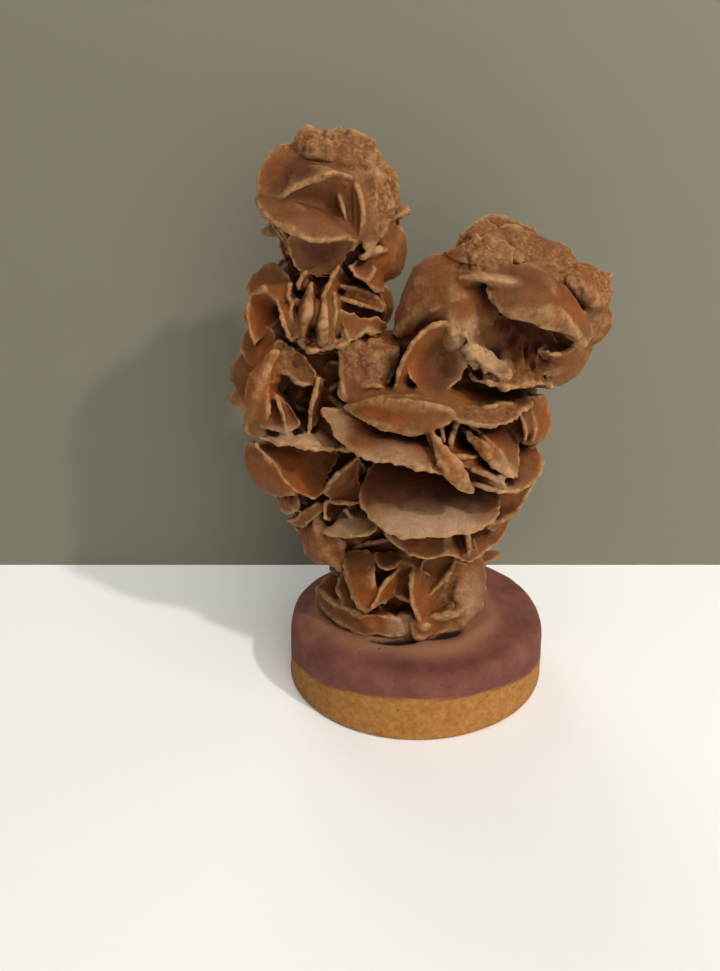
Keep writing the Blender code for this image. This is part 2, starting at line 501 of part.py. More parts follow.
CRYSTAL_COLOUR = (0.45, 0.26, 0.15, 1.0)
MORTAR_COLOUR = (0.24, 0.12, 0.09, 1.0)


def clear_scene():
    for thing in list(bpy.data.objects):
        bpy.data.objects.remove(thing, do_unlink=True)


def material(name, colour, roughness):
    made = bpy.data.materials.new(name)
    made.use_nodes = True
    shader = made.node_tree.nodes["Principled BSDF"]
    shader.inputs["Base Color"].default_value = colour
    shader.inputs["Roughness"].default_value = roughness
    shader.inputs["Metallic"].default_value = 0.0
    return made


def add_object(name, points, faces, finish=None, helper=False):
    """An object from points in millimetres, placed in metres."""
    mesh = bpy.data.meshes.new(name)
    mesh.from_pydata([Vector(p) * MM for p in points], [], faces)
    thing = bpy.data.objects.new(name, mesh)
    bpy.context.scene.collection.objects.link(thing)
    if finish:
        mesh.materials.append(finish)
    if helper:
        thing.hide_render = True
        thing.display_type = "WIRE"
    return thing


def outline_factor(angle, phase):
    """How far a lens's uneven outline stands in or out at an angle."""
    return (
        1.0
        + 0.06 * math.sin(2 * angle + phase)
        + 0.05 * math.sin(3 * angle + 2.1 * phase)
        + 0.04 * math.sin(5 * angle + 3.7 * phase)
    )


def half_thickness(thick, share):
    """Half of a blade's thickness at a share of the way from its middle to its rim."""
    return max(RIM_WIDTH / 2, thick / 2 * math.sqrt(max(0.0, 1 - share ** LENS_POWER)))


def smooth_rim(points, closed):
    """A smooth run through the points of a rim, as a Catmull-Rom curve."""
    knots = [Vector(p) for p in points]
    count = len(knots)
    spans = count if closed else count - 1

    def knot(i):
        return knots[i % count] if closed else knots[max(0, min(count - 1, i))]

    run = []
    for i in range(spans):
        before, start, end, after = (knot(i + k) for k in (-1, 0, 1, 2))
        for step in range(RIM_STEPS):
            t = step / RIM_STEPS
            run.append(
                0.5 * (
                    2 * start
                    + (end - before) * t
                    + (2 * before - 5 * start + 4 * end - after) * t ** 2
                    + (3 * start - before - 3 * end + after) * t ** 3
                )
            )
    if not closed:
        run.append(knots[-1])
    return run


def two_sided(front_rows, back_rows, closed):
    """Points and faces of a blade from the rows of its two sides, first row at the middle."""
    count = len(front_rows[0])
    rows = front_rows + back_rows
    points = [p for row in rows for p in row]
    back = len(front_rows) * count
    rim = (len(front_rows) - 1) * count
    faces = []
    for i in range(count if closed else count - 1):
        j = (i + 1) % count
        for row in range(len(front_rows) - 1):
            a, b = row * count, (row + 1) * count
            faces.append((a + i, b + i, b + j, a + j))
            faces.append((back + a + i, back + a + j, back + b + j, back + b + i))
        faces.append((rim + i, back + rim + i, back + rim + j, rim + j))
    if not closed:
        faces += [(i, i + 1, back + i + 1, back + i) for i in range(count - 1)]
        for row in range(len(front_rows) - 1):
            a, b = row * count, (row + 1) * count
            last = count - 1
            faces.append((a, back + a, back + b, b))
            faces.append((a + last, b + last, back + b + last, back + a + last))
    return points, faces


def mean_normal(middle, run):
    """The direction that a fan of points round a middle faces."""
    total = Vector((0.0, 0.0, 0.0))
    for a, b in zip(run, run[1:] + run[:1]):
        total += (b - middle).cross(a - middle)
    return total.normalized()


def shares():
    return (0.0, *BLADE_SHARES, 1.0)


def lens_mesh(lens, phase):
    """A round blade: an uneven ellipse, thick in the middle."""
    across = lens.normal.cross(lens.along)
    fronts, backs = [], []
    for share in shares():
        half = half_thickness(lens.thick, share)
        flat = []
        for i in range(BLADE_SIDES):
            angle = 2 * math.pi * i / BLADE_SIDES
            reach = outline_factor(angle, phase) * share
            flat.append(
                lens.place
                + lens.along * (lens.wide * reach * math.cos(angle))
                + across * (lens.tall * reach * math.sin(angle))
            )
        fronts.append([p + lens.normal * half for p in flat])
        backs.append([p - lens.normal * half for p in flat])
    return two_sided(fronts, backs, closed=True)


def plate_mesh(plate):
    """A blade seen face on: its rim, and a face that sinks or bulges smoothly to its middle."""
    run = smooth_rim(plate.rim, closed=True)
    centre = sum(run, Vector()) / len(run)
    depth = Vector(plate.middle) - centre
    normal = mean_normal(centre, run)
    fronts, backs = [], []
    for share in shares():
        half = half_thickness(plate.thick, share)
        flat = [centre + (p - centre) * share + depth * (1 - share * share) for p in run]
        fronts.append([p + normal * half for p in flat])
        backs.append([p - normal * half for p in flat])
    return two_sided(fronts, backs, closed=True)


def fin_mesh(fin):
    """A blade seen edge on: a fan from its root to its free edge."""
    run = smooth_rim(fin.rim, closed=False)
    root = Vector(fin.root)
    normals = []
    for i in range(len(run)):
        before, after = run[max(0, i - 1)], run[min(len(run) - 1, i + 1)]
        normals.append((run[i] - root).cross(after - before).normalized())
    fronts, backs = [], []
    for share in shares():
        thick = fin.thick * (1 + FIN_FLARE * (1 - share))
        half = half_thickness(thick, share)
        flat = [root + (p - root) * share for p in run]
        fronts.append([p + n * half for p, n in zip(flat, normals)])
        backs.append([p - n * half for p, n in zip(flat, normals)])
    return two_sided(fronts, backs, closed=False)


def spray_lenses(rosette, rng):
    """Lenses spread evenly over the sides and back of a rosette, edge outwards, turned at random."""
    found = []
    golden_turn = math.pi * (3 - math.sqrt(5))
    spread = 2 * rosette.sprays
    for i in range(spread):
        z = 1 - 2 * (i + 0.5) / spread
        flat = math.sqrt(1 - z * z)
        out = Vector((flat * math.cos(golden_turn * i), flat * math.sin(golden_turn * i), z))
        size = rosette.spray_size * rng.uniform(*SPRAY_SIZES)
        spin = rng.uniform(0, math.pi)
        lift = rng.uniform(-SPRAY_LIFT, SPRAY_LIFT)
        thick = size * rng.uniform(*SPRAY_THICKNESS)
        tall = size * rng.uniform(*SPRAY_SQUATNESS)
        if out.y < SPRAY_FRONT_LIMIT:
            continue
        side = out.orthogonal().normalized()
        normal = (side * math.cos(spin) + out.cross(side) * math.sin(spin) + out * lift).normalized()
        along = normal.orthogonal().normalized()
        reach = [o * (h + rosette.spray_reach) * SPRAY_DEPTH for o, h in zip(out, rosette.heart)]
        place = Vector(rosette.middle) + Vector(reach)
        found.append(Lens(place, normal, along, size, tall, thick))
    return found


def heart_mesh(rosette):
    """A rough many-sided lump where a rosette's blades have grown together."""
    shape = bmesh.new()
    bmesh.ops.create_icosphere(shape, subdivisions=1, radius=1.0)
    points = [
        Vector(rosette.middle) + Vector([c * h for c, h in zip(v.co, rosette.heart)])
        for v in shape.verts
    ]
    faces = [tuple(v.index for v in f.verts) for f in shape.faces]
    shape.free()
    return points, faces


def rosette_meshes(rosette, rng):
    """Points and faces of everything in a rosette."""
    yield heart_mesh(rosette)
    for blade in rosette.blades:
        yield plate_mesh(blade) if isinstance(blade, Plate) else fin_mesh(blade)
    for phase, lens in enumerate(spray_lenses(rosette, rng)):
        yield lens_mesh(lens, phase)


def base_profile():
    """Radius and height pairs of the base from the underside's edge to the flat on the mound."""
    points = [(BASE_RADIUS + BASE_FLARE - BASE_FOOT_BEVEL, 0.0)]
    points.append((BASE_RADIUS + BASE_FLARE, BASE_FOOT_BEVEL))
    steps = 5
    for i in range(steps + 1):
        angle = math.pi / 2 * i / steps
        r = BASE_RADIUS - BASE_ROUNDING * (1 - math.cos(angle))
        z = BASE_HEIGHT - BASE_ROUNDING * (1 - math.sin(angle))
        points.append((r, z))
    steps = 4
    for i in range(steps + 1):
        share = i / steps
        r = MOUND_RADIUS + (MOUND_TOP_RADIUS - MOUND_RADIUS) * share
        rise = MOUND_HEIGHT * (0.5 - 0.5 * math.cos(math.pi * share))
        points.append((r, BASE_HEIGHT + rise))
    return points


def base_mesh():
    profile = base_profile()
    n = BASE_SIDES
    points = []
    for r, z in profile:
        for i in range(n):
            angle = 2 * math.pi * i / n
            oval = 1 + BASE_OVAL[0] * math.cos(2 * angle) + BASE_OVAL[1] * math.sin(2 * angle)
            points.append((r * oval * math.cos(angle), r * oval * math.sin(angle), z))
    last = (len(profile) - 1) * n
    faces = [tuple(range(n - 1, -1, -1)), tuple(range(last, last + n))]
    for i in range(n):
        j = (i + 1) % n
        for ring in range(len(profile) - 1):
            a, b = ring * n, (ring + 1) * n
            faces.append((a + i, a + j, b + j, b + i))
    return points, faces


def joined(parts):
    """One list of points and one of faces from several."""
    points, faces = [], []
    for more_points, more_faces in parts:
        first = len(points)
        points += more_points
        faces += [tuple(first + i for i in face) for face in more_faces]
    return points, faces


def cut_under(thing, height):
    """Cuts everything below a height in millimetres away, flat."""
    level = height * MM
    for vertex in thing.data.vertices:
        if abs(vertex.co.z - level) < SNAP * MM:
            vertex.co.z = level + SNAP * MM
    reach = 3 * BASE_RADIUS
    block = [
        (x * reach, y * reach, height if z > 0 else -reach)
        for z in (-1, 1)
        for x, y in ((-1, -1), (1, -1), (1, 1), (-1, 1))
    ]
    sides = [(0, 3, 2, 1), (4, 5, 6, 7), (0, 1, 5, 4), (1, 2, 6, 5), (2, 3, 7, 6), (3, 0, 4, 7)]
    cutter = add_object("ground_cutter", block, sides, helper=True)
    cut = thing.modifiers.new("cut_flat", "BOOLEAN")
    cut.operation = "DIFFERENCE"
    cut.object = cutter
    cut.solver = "EXACT"
    keep_outer_skin(thing)


def build_rose(finish):
    """One solid: every heart and blade grown together, cut flat where it stands on the mound."""
    rng = np.random.default_rng(2003)
    parts = [mesh for rosette in ROSETTES for mesh in rosette_meshes(rosette, rng)]
    rose = add_object("sand_rose", *joined(parts), finish)
    grow = rose.modifiers.new("grow_together", "REMESH")
    grow.mode = "VOXEL"
    grow.voxel_size = GROWTH_GRAIN * MM
    keep_outer_skin(rose)
    flatten = rose.modifiers.new("flatten_faces", "DECIMATE")
    flatten.decimate_type = "COLLAPSE"
    flatten.ratio = min(1.0, ROSE_TRIANGLES / (2 * len(rose.data.polygons)))
    keep_outer_skin(rose)
    cut_under(rose, BASE_HEIGHT + MOUND_HEIGHT + CLEARANCE)
    return rose


def keep_outer_skin(thing):
    """The evaluated object as a plain mesh, without the skins of hollows sealed between blades."""
    seen = thing.evaluated_get(bpy.context.evaluated_depsgraph_get())
    skin = bmesh.new()
    skin.from_mesh(seen.to_mesh())
    left = set(skin.verts)
    islands = []
    while left:
        island = {left.pop()}
        edge = list(island)
        while edge:
            near = {e.other_vert(v) for v in edge for e in v.link_edges}
            edge = list(near & left)
            left.difference_update(edge)
            island.update(edge)
        islands.append(island)
    islands.sort(key=len)
    spare = [v for island in islands[:-1] for v in island]
    bmesh.ops.delete(skin, geom=spare, context="VERTS")
    loose = [e for e in skin.edges if not e.link_faces]
    bmesh.ops.delete(skin, geom=loose, context="EDGES")
    bmesh.ops.dissolve_degenerate(skin, dist=SHORTEST_EDGE * MM, edges=skin.edges)
    thing.modifiers.clear()
    skin.to_mesh(thing.data)
    skin.free()
    return thing


def build_base(finish):
    return add_object("base", *base_mesh(), finish)


def main():
    clear_scene()
    build_base(material("mortar", MORTAR_COLOUR, 0.9))
    build_rose(material("gypsum", CRYSTAL_COLOUR, 0.75))


main()
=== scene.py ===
"""The looks of the gypsum sand rose and its cast base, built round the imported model.

Lengths in the tables are millimetres and angles are degrees, in the model's own frame: +Z up, the
origin at the centre of the base's underside, -Y towards the side that the rose shows. The lamps'
places and sizes are in metres.
"""

import math
from collections import namedtuple

import bmesh
import bpy
import numpy as np
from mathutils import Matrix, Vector


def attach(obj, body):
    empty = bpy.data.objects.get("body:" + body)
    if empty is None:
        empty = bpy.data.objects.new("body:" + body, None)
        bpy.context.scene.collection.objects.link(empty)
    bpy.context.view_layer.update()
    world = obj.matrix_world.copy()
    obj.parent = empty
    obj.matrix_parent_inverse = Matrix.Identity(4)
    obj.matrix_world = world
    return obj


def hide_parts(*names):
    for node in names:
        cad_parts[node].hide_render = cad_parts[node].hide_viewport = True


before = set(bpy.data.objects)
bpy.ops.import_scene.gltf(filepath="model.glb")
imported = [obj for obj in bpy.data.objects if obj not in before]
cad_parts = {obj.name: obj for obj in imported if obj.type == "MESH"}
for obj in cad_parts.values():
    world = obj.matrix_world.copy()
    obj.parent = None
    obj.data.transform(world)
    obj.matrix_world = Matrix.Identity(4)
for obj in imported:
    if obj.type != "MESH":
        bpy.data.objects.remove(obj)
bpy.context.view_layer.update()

MM = 0.001
GOLDEN_TURN = math.pi * (3 - math.sqrt(5))   # the turn between neighbours of an even spread

# Relief on a skin: how far it stands out, how wide its lumps are, the seed of its noise, how many
# sizes of noise it adds up, and how far the whole is sunk.
Relief = namedtuple("Relief", "rise width seed octaves sink", defaults=(1, 0.0))

# Grain in a finish: the width of its lumps, how much detail it has, how rough that detail is, and how
# far the pattern is shifted, in metres.
Grain = namedtuple("Grain", "width detail rough shift", defaults=(4.0, 0.55, 0.0))
GRAIN_GROUP = "grain"

# What a value from low to high is turned into.
Range = namedtuple("Range", "low high to_low to_high", defaults=(0.0, 1.0))

# ---- Noise.
CORNER_PRIMES = (73856093, 19349663, 83492791)
SEED_PRIME = 2654435761
MIXING_PRIME = 1274126177

# ---- The blades, with the model's own sections and finer steps.
BLADE_SIDES = 72               # corners round a whole lens
RIM_STEPS = 8                  # steps between two points of a plate's or a fin's rim
BLADE_SHARES = (0.0, 0.2, 0.4, 0.55, 0.68, 0.78, 0.86, 0.92, 0.96, 0.99, 1.0)
OUTLINE_WAVES = ((0.06, 2, 1.0), (0.05, 3, 2.1), (0.04, 5, 3.7))   # height, count and phase of each
THICKER = 1.35                 # the blades' swelling beside the model's
LENS_POWER = 2.6               # how late towards the rim a blade thins
LENS_FULLNESS = 0.72           # and how bluntly it then ends
BEAD_RISE = 0.06               # a low bead that runs round inside the rim
BEAD_PLACE = 0.93              # its share of the way to the rim
BEAD_WIDTH = 0.07
RIM_WIDTH = 0.9                # a rim is never thinner than this
RIM_WAVER = Relief(0.035, 3.4, 700, 2)   # as a share of the rim's distance
FIN_FLARE = 0.5                # a fin's root is thicker than its outer part by this share
HEART_FILL = 0.95              # a heart's half sizes, as a share of what its table says
HEART_SPLITS = 4

# ---- The lenses over the sides and back: ranges of their sizes, as shares of a rosette's spray size.
SPRAY_SEED = 2003
SPRAY_SIZES = (0.75, 1.1)
SPRAY_SQUATNESS = (0.7, 0.95)
SPRAY_THICKNESS = (0.2, 0.28)
SPRAY_LIFT = 0.25              # how far a lens leans from standing on edge
SPRAY_DEPTH = 0.55             # where its middle lies between the rosette's middle and its reach
SPRAY_FRONT_LIMIT = 0.1        # none stands further to the front than this

# ---- The small lenses all over a heart, called sprigs.
SPRIG_SEED = 77
SPRIGS_PER_SPRAY = 7
SPRIG_SIZES = (0.50, 0.80)     # their half size, as shares of the spray's
SPRIG_SQUATNESS = (0.6, 1.0)
SPRIG_DEPTH = 0.66             # where their middles lie between the heart's middle and its edge
SPRIG_THICKNESS = 2.4
SPRIG_ASIDE = (0.3, 0.2, 0.9)  # what their sides are squared off against
SPRIG_FREE = ("crown", "head")  # these have none on their fronts

# ---- The skin that the blades have grown together in.
SKIN_GRAIN = 0.42              # its step
SOFTENING = (0.5, 2)           # factor and rounds
MOST_TRIANGLES = 120000        # in one piece, to keep all of them under a million
CREASE_ROUNDS = 16             # rounds of smoothing in the creases
CREASE_RANGE = (0.02, 0.25)    # how deep a place lies when it begins to be one, and when it wholly is
RIM_ROUNDS = 20                # rounds of smoothing that set a rim off from a face
RIM_RANGE = (0.06, 0.42)       # the same for a rim, and how far it stands out
SKIN_SEED_STEP = 100           # between one rosette's noise and the next one's
SKIN_LUMPS = Relief(0.22, 6.0, 0, 2)
SKIN_SAND = Relief(0.06, 1.8, 10, 2)
RIM_KNOBS = (Relief(0.34, 1.5, 20), Relief(0.26, 0.85, 30))
NODULE_RELIEF = (Relief(2.0, 3.2, 40, sink=0.5), Relief(0.8, 1.5, 50, sink=0.2))
RIB_RELIEF = Relief(2.4, 1.6, 60, sink=0.7)
RIB_STRETCH = (1.0, 1.0, 0.28)
NODULE_CREAM = 0.6             # how much of the rims' colour the tops of nodules have
NODULE_TOPS = (0.1, 0.7)       # how far the skin is raised where a top begins, and where it is whole
RIM_SUGAR = 0.9                # how much of the nodules' sugary grain the rims have
PATCH_WAVER = Relief(0.25, 6.0, 900, 2)
PATCH_REACH = 1.35             # where a patch ends, as a share of its half sizes
PATCH_BLUR = 0.9               # how far inside that it reaches its full strength

# ---- How open to the sky each place is, which sets the painted shade in the gypsum's colour.
CELL = 1.0                     # side of a cell of the grid in which the crystal's solid is marked
GRID_LOW = np.array((-56.0, -36.0, 14.0))
GRID_CELLS = (112, 72, 134)
SKY_START = 1.2                # cells between the skin and the first look
SKY_REACH = 14                 # cells within which something hides the sky
SKY_STRIDE = 2
SKY_WAYS = 40                  # directions that are tried

# ---- The base, as in the model.
BASE_RADIUS = 33.8
BASE_FLARE = 0.5               # the foot is this much larger in radius
BASE_HEIGHT = 17.9
BASE_ROUNDING = 3.8
BASE_FOOT_BEVEL = 0.6
BASE_OVAL = (0.02, 0.016)      # how far it is from round, along X and along the diagonal
MOUND_RADIUS = 26.0            # where the mound meets the flat of the top
MOUND_TOP_RADIUS = 14.0        # the flat that the crystal stands on
MOUND_HEIGHT = 1.8

# ---- What the casting adds to it.
BASE_SIDES = 288
BASE_STEP = 0.8                # the longest step of its profile
ROUNDING_STEPS = 8
MOUND_STEPS = 12
BASE_LUMPS = Relief(0.22, 11.0, 511, 3, sink=0.2)
BASE_SAND = Relief(0.05, 1.6, 521)
BASE_RINGS = Relief(0.10, 1.1, 531)    # faint, level rings round the side
RING_STRETCH = (0.12, 0.12, 1.0)
SIDE_INSET = (3.0, 1.0)        # the side begins and is whole this far inside the radius
TOP_INSET = 1.0                # the top begins this far below its height
FLAT_UNDERSIDE = (0.3, 1.4)    # the relief dies out between these heights
LIP_MIDDLE = (-3.0, -3.0)      # a low lip of mortar runs round the crystal's foot
LIP_HALF = (23.0, 19.5)
LIP_WIDTH = 0.13               # as a share of its half sizes
LIP_WAVER = Relief(0.06, 9.0, 501, 2)
LIP_RISE = 0.9
BED_RISE = 0.9                 # the mortar inside the lip is this much higher
BED_BLUR = 0.1
BED_TINT = 0.8                 # how much of the lip's colour it has
CRACK = (
    # X, Y and half width of the gap between the mortar and the crystal's front, sunk and painted near
    # black as shade
    (-13.0, -18.6, 0.4), (-9.0, -19.4, 0.8), (-6.0, -19.4, 1.5), (-3.0, -19.2, 1.4), (0.0, -18.8, 0.6),
    (3.0, -18.2, 0.7), (6.0, -16.8, 1.5), (8.5, -15.8, 1.4), (10.5, -14.6, 0.4),
)
CRACK_STEPS = 8                # between two of its points
CRACK_DEPTH = 1.6
# where the crack's painted shade begins and where it is whole
CRACK_DARKENS = (0.3, 0.8)
STAIN_LOW = 5.0                # the stain reaches down to here at the back and sides
STAIN_FRONT_RISE = 7.0         # and ends this much higher at the front
STAIN_WAVER = Relief(0.7, 9.0, 541)
STAIN_BLUR = 0.4
PITS = (
    # X, Z, radius and depth of the pits in the side near the front
    (-24.5, 14.5, 1.3, 0.8), (-23.0, 13.0, 0.8, 0.6), (-26.5, 13.0, 0.6, 0.5), (14.0, 13.0, 0.5, 0.3),
    (3.0, 9.0, 0.5, 0.3), (-9.0, 6.0, 0.6, 0.3), (22.0, 7.0, 0.5, 0.3),
)

# ---- Gypsum.
# The gypsum's colour by how open a place is to the sky: its own colour in the open, and painted shade that
# darkens it to near black in the deepest hollows.
GYPSUM_PAINTED_SHADE_BY_OPENNESS = (
    (0.00, (0.006, 0.002, 0.001)),
    (0.16, (0.035, 0.008, 0.002)),
    (0.34, (0.078, 0.019, 0.004)),
    (0.58, (0.128, 0.040, 0.008)),
    (0.90, (0.170, 0.064, 0.017)),
)
RIM_CREAM = (0.42, 0.245, 0.110)
SUGAR = (0.40, 0.24, 0.115)
# pale sand, and the colour of one painted highlight
PALE_SAND_AND_HIGHLIGHT = (0.43, 0.265, 0.155)
AMBER_GLOW = (1.30, 0.95, 0.55)
PINK_CAST = (1.00, 1.05, 1.50)
# purple-brown painted shade, for hollows, undersides and faces in shadow
PLUM_PAINTED_SHADE = (0.50, 0.36, 0.48)
TINT_OF_PATCH = (("amber", AMBER_GLOW), ("pink", PINK_CAST), ("plum", PLUM_PAINTED_SHADE))
WARM_GRAIN, WARM_RANGE = Grain(10.0, 2.0, shift=0.31), Range(0.42, 0.68, 0.0, 0.5)
PALE_IN_THE_OPEN = Range(0.2, 0.6, 0.0, 0.85)
# the rims' pale colour fades where the painted shade lies
RIM_UNDER_PAINTED_SHADE = Range(0.3, 1.0, 1.0, 0.25)
RIM_GRAIN, RIM_GRAIN_RANGE = Grain(2.0, 3.0), Range(0.35, 0.62, 0.25, 0.8)
SUGAR_GRAIN, SUGAR_RANGE = Grain(0.9, 3.0), Range(0.42, 0.66, 0.0, 0.55)
SUGAR_IN_THE_OPEN = Range(0.15, 0.5)
BLOTCH_GRAIN, BLOTCH_RANGE = Grain(3.0, 4.0, 0.6, 0.7), Range(0.34, 0.68, 0.86, 1.12)
FINE_GRAIN, FINE_RANGE = Grain(0.6, 3.0, 0.7), Range(0.35, 0.65, 0.9, 1.1)
GYPSUM_BUMPS = ((Grain(0.7, 4.0, 0.65), 0.24, 1.0), (Grain(2.4, 3.0, 0.6), 0.3, 0.6))
GYPSUM_SHADER = {
    "Roughness": 0.7,
    "Specular IOR Level": 0.2,
    "Subsurface Weight": 0.5,
    "Subsurface Radius": (1.0, 0.36, 0.10),
    "Subsurface Scale": 2.2 * MM,
}

# ---- Mortar.
STAINED_MORTAR = (
    (0.28, (0.110, 0.034, 0.027)), (0.5, (0.165, 0.056, 0.041)), (0.72, (0.220, 0.085, 0.058)),
)
OCHRE_MORTAR = ((0.3, (0.26, 0.105, 0.022)), (0.5, (0.36, 0.155, 0.036)), (0.7, (0.46, 0.23, 0.07)))
STAINED_GRAIN = Grain(7.0, 6.0, 0.6)
OCHRE_GRAIN = Grain(1.6, 5.0, 0.75)
LIP_BROWN = (0.25, 0.11, 0.058)
# painted shade in the crack at the crystal's foot
CRACK_PAINTED_SHADE = (0.012, 0.004, 0.003)
SPECK_BROWN = (0.035, 0.014, 0.012)
SPECK_GRAIN, SPECK_RANGE = Grain(1.1, 2.0, 0.5, 0.11), Range(0.70, 0.76, 0.0, 0.75)
MORTAR_BUMPS = ((Grain(0.5, 5.0, 0.7), 0.18, 1.0),)
MORTAR_SHADER = {"Roughness": 0.9, "Specular IOR Level": 0.25}

# ---- The camera.
CAMERA_PLACE = Vector((-15.43, -184.85, 132.2))
CAMERA_PITCH = 23.0            # degrees that it looks down
FOCAL_PIXELS = 780.0           # focal length in pixels of the 971-pixel frame height
FRAME_HEIGHT_PIXELS = 971.0
SENSOR = 36.0
NEAREST_SEEN = 5.0

# ---- The floor, the wall and the lamps.
STAGE_REACH = 900.0            # half the sheets' width, and the wall's height
FLOOR_FRONT = -1400.0
WALL_Y = 55.5                  # the wall's distance behind the base's centre
FLOOR_COLOUR = (0.92, 0.93, 0.94)
WALL_COLOUR = (0.185, 0.178, 0.135)
SHEET_ROUGHNESS = 0.7
ROSE_MIDDLE = (0, 0, 0.07)
KEY_PLACE = tuple(Vector((1.1, -1.0, 1.45)).normalized() * 1.1)
LAMPS = (
    # name, place, what it is aimed at, size, power and colour
    ("key", KEY_PLACE, ROSE_MIDDLE, 0.06, 5.6, (1.0, 0.94, 0.85)),
    ("ceiling", (0.15, -0.35, 0.95), (0, -0.1, 0), 0.9, 3.9, (1.0, 0.97, 0.92)),
    ("room", (0.35, -1.0, 0.35), ROSE_MIDDLE, 0.8, 4.4, (1.0, 0.96, 0.90)),
    ("rear", (-0.35, 0.95, 0.55), ROSE_MIDDLE, 0.8, 4.2, (1.0, 0.97, 0.93)),
)
WORLD_COLOUR = (0.62, 0.60, 0.55)
WORLD_STRENGTH = 0.18

# ---- The crystal. A lens is a round blade. A plate is a blade seen face on and a fin one seen edge
# on: their thickness, then where the face's middle or the root lies, then the points of the rim.
Lens = namedtuple("Lens", "place normal along wide tall thick")
Plate = namedtuple("Plate", "thick middle rim")
Fin = namedtuple("Fin", "thick root rim")
Rosette = namedtuple("Rosette", "name middle heart sprays spray_size spray_reach blades")

CROWN_BLADES = [
    # sunken face at the upper left
    Plate(3.5, (-29, -2, 128.5), [
        (-38, -4, 125), (-36, -1, 131.5), (-33, 1, 134), (-28, 2, 134), (-21, 0, 132), (-17, -6, 127.5),
        (-20, -9, 128.5), (-25, -9, 127), (-30, -9, 125), (-33, -7, 123.5),
    ]),
    # bright shelf across the front
    Plate(2.8, (-27, -7, 119), [
        (-38, -4, 124), (-32, -6, 123), (-26, -3, 122), (-20, -3, 119), (-17, -7, 116), (-21, -12, 115),
        (-26, -13, 115.5), (-31, -12, 117.5), (-36, -8, 120),
    ]),
    Fin(2.6, (-20, 3, 120), [(-17, -6, 127.5), (-15, -8, 124), (-14.5, -8, 119), (-17, -6, 112)]),
    Plate(2.0, (-24, -1.5, 121), [
        (-33, -7, 123), (-29, -7.5, 125.5), (-24, -8, 127), (-20, -8, 128), (-17.5, -6, 125),
        (-16.5, -5, 120), (-17.5, -4, 116), (-22, -4, 117.5), (-28, -5, 120),
    ]),
    Fin(2.6, (-21, 3, 123), [(-21, -5.5, 127), (-19.8, -6.5, 124), (-18.6, -6.5, 120), (-18, -6, 117)]),
    # dish under the shelf
    Plate(2.4, (-24, -3, 111), [
        (-30.5, -9, 116), (-30.5, -7, 111), (-28, -6, 108), (-24.5, -6, 107), (-21, -6, 107.5),
        (-18, -6, 111.5), (-16.5, -8, 115), (-23, -9, 115),
    ]),
    Fin(3.0, (-27, 4, 117), [(-37, -4, 121), (-35, -3, 117.5), (-32.5, -2, 114), (-31, -1, 110.5)]),
    Fin(1.6, (-26, 4, 115), [(-34, -6, 119), (-32, -6, 116), (-31, -6, 112)]),
    # rough top, with two bumps
    Plate(5.0, (-25, 1, 133.5), [
        (-31, 0, 131.5), (-28.5, 2, 135), (-24, 2, 136), (-20, 2, 135.5), (-17, 1, 134), (-20, -4, 131),
        (-26, -4, 131),
    ]),
    Fin(4.0, (-25, 5, 126), [(-30, 0, 133.5), (-28, 0, 136), (-26, 0, 137), (-24.5, -1, 134)]),
    Fin(3.5, (-20, 5, 126), [(-23, -2, 133), (-21.5, 1, 137), (-20, 2, 138), (-18.5, 2, 136)]),
    # rough crown and shoulder at the right
    Plate(6.0, (-15, 2, 131.5), [
        (-20, 1, 136), (-15, 2, 135.5), (-12.5, 3, 133.5), (-11.5, 2, 130.5), (-14, -4, 127.5),
        (-18, -5, 128.5), (-21, -3, 132),
    ]),
    Plate(4.5, (-10.5, 1, 124), [
        (-12, 2, 131.5), (-9, 4, 130), (-7.5, 4, 126.5), (-8, 4, 123), (-8.5, 3, 119), (-12, -3, 117.5),
        (-14, -4, 121.5), (-14, -3, 127),
    ]),
    Fin(1.6, (-12, 4, 121), [(-8, 2.5, 122.5), (-6, 3, 121), (-8, 3, 119.5)]),
    # rough band between the recess and the shoulder
    Plate(4.0, (-12.5, -3, 122), [
        (-17, -6, 128), (-12, -4, 129), (-9, -1, 126), (-8.5, 0, 121), (-10, -3, 116), (-14, -6, 113),
        (-15.5, -7, 118), (-16, -7, 123),
    ]),
    # disc at the lower right and the small blades before it
    Plate(3.2, (-10, 2, 110), [
        (-9, 5, 118), (-6, 6, 116.5), (-4.5, 7, 111.5), (-6, 6, 106.5), (-10, 4, 104), (-14, 0, 105.5),
        (-15, -2, 110), (-13, 1, 116),
    ]),
    Plate(1.4, (-12, -2, 112.5), [
        (-15.5, -6, 111), (-13, -5.5, 112.5), (-9, -1, 112), (-11, 3, 113), (-15, 3, 113),
    ]),
    Fin(1.8, (-15, 5, 118), [(-14, -6, 121.5), (-12, -6, 120.5), (-9.5, -2, 119)]),
    Fin(1.8, (-16, 5, 115), [(-14.5, -7, 117), (-12, -5, 117), (-9, -1, 116.5)]),
    Fin(2.0, (-15, 3, 110), [(-18, -7, 109.5), (-16, -8, 107), (-13.5, -7, 106.5), (-11.5, -4, 108.5)]),
    Fin(2.0, (-12, 4, 108), [(-14, -5, 106), (-12, -4, 103.5), (-10, 0, 102.5)]),
]

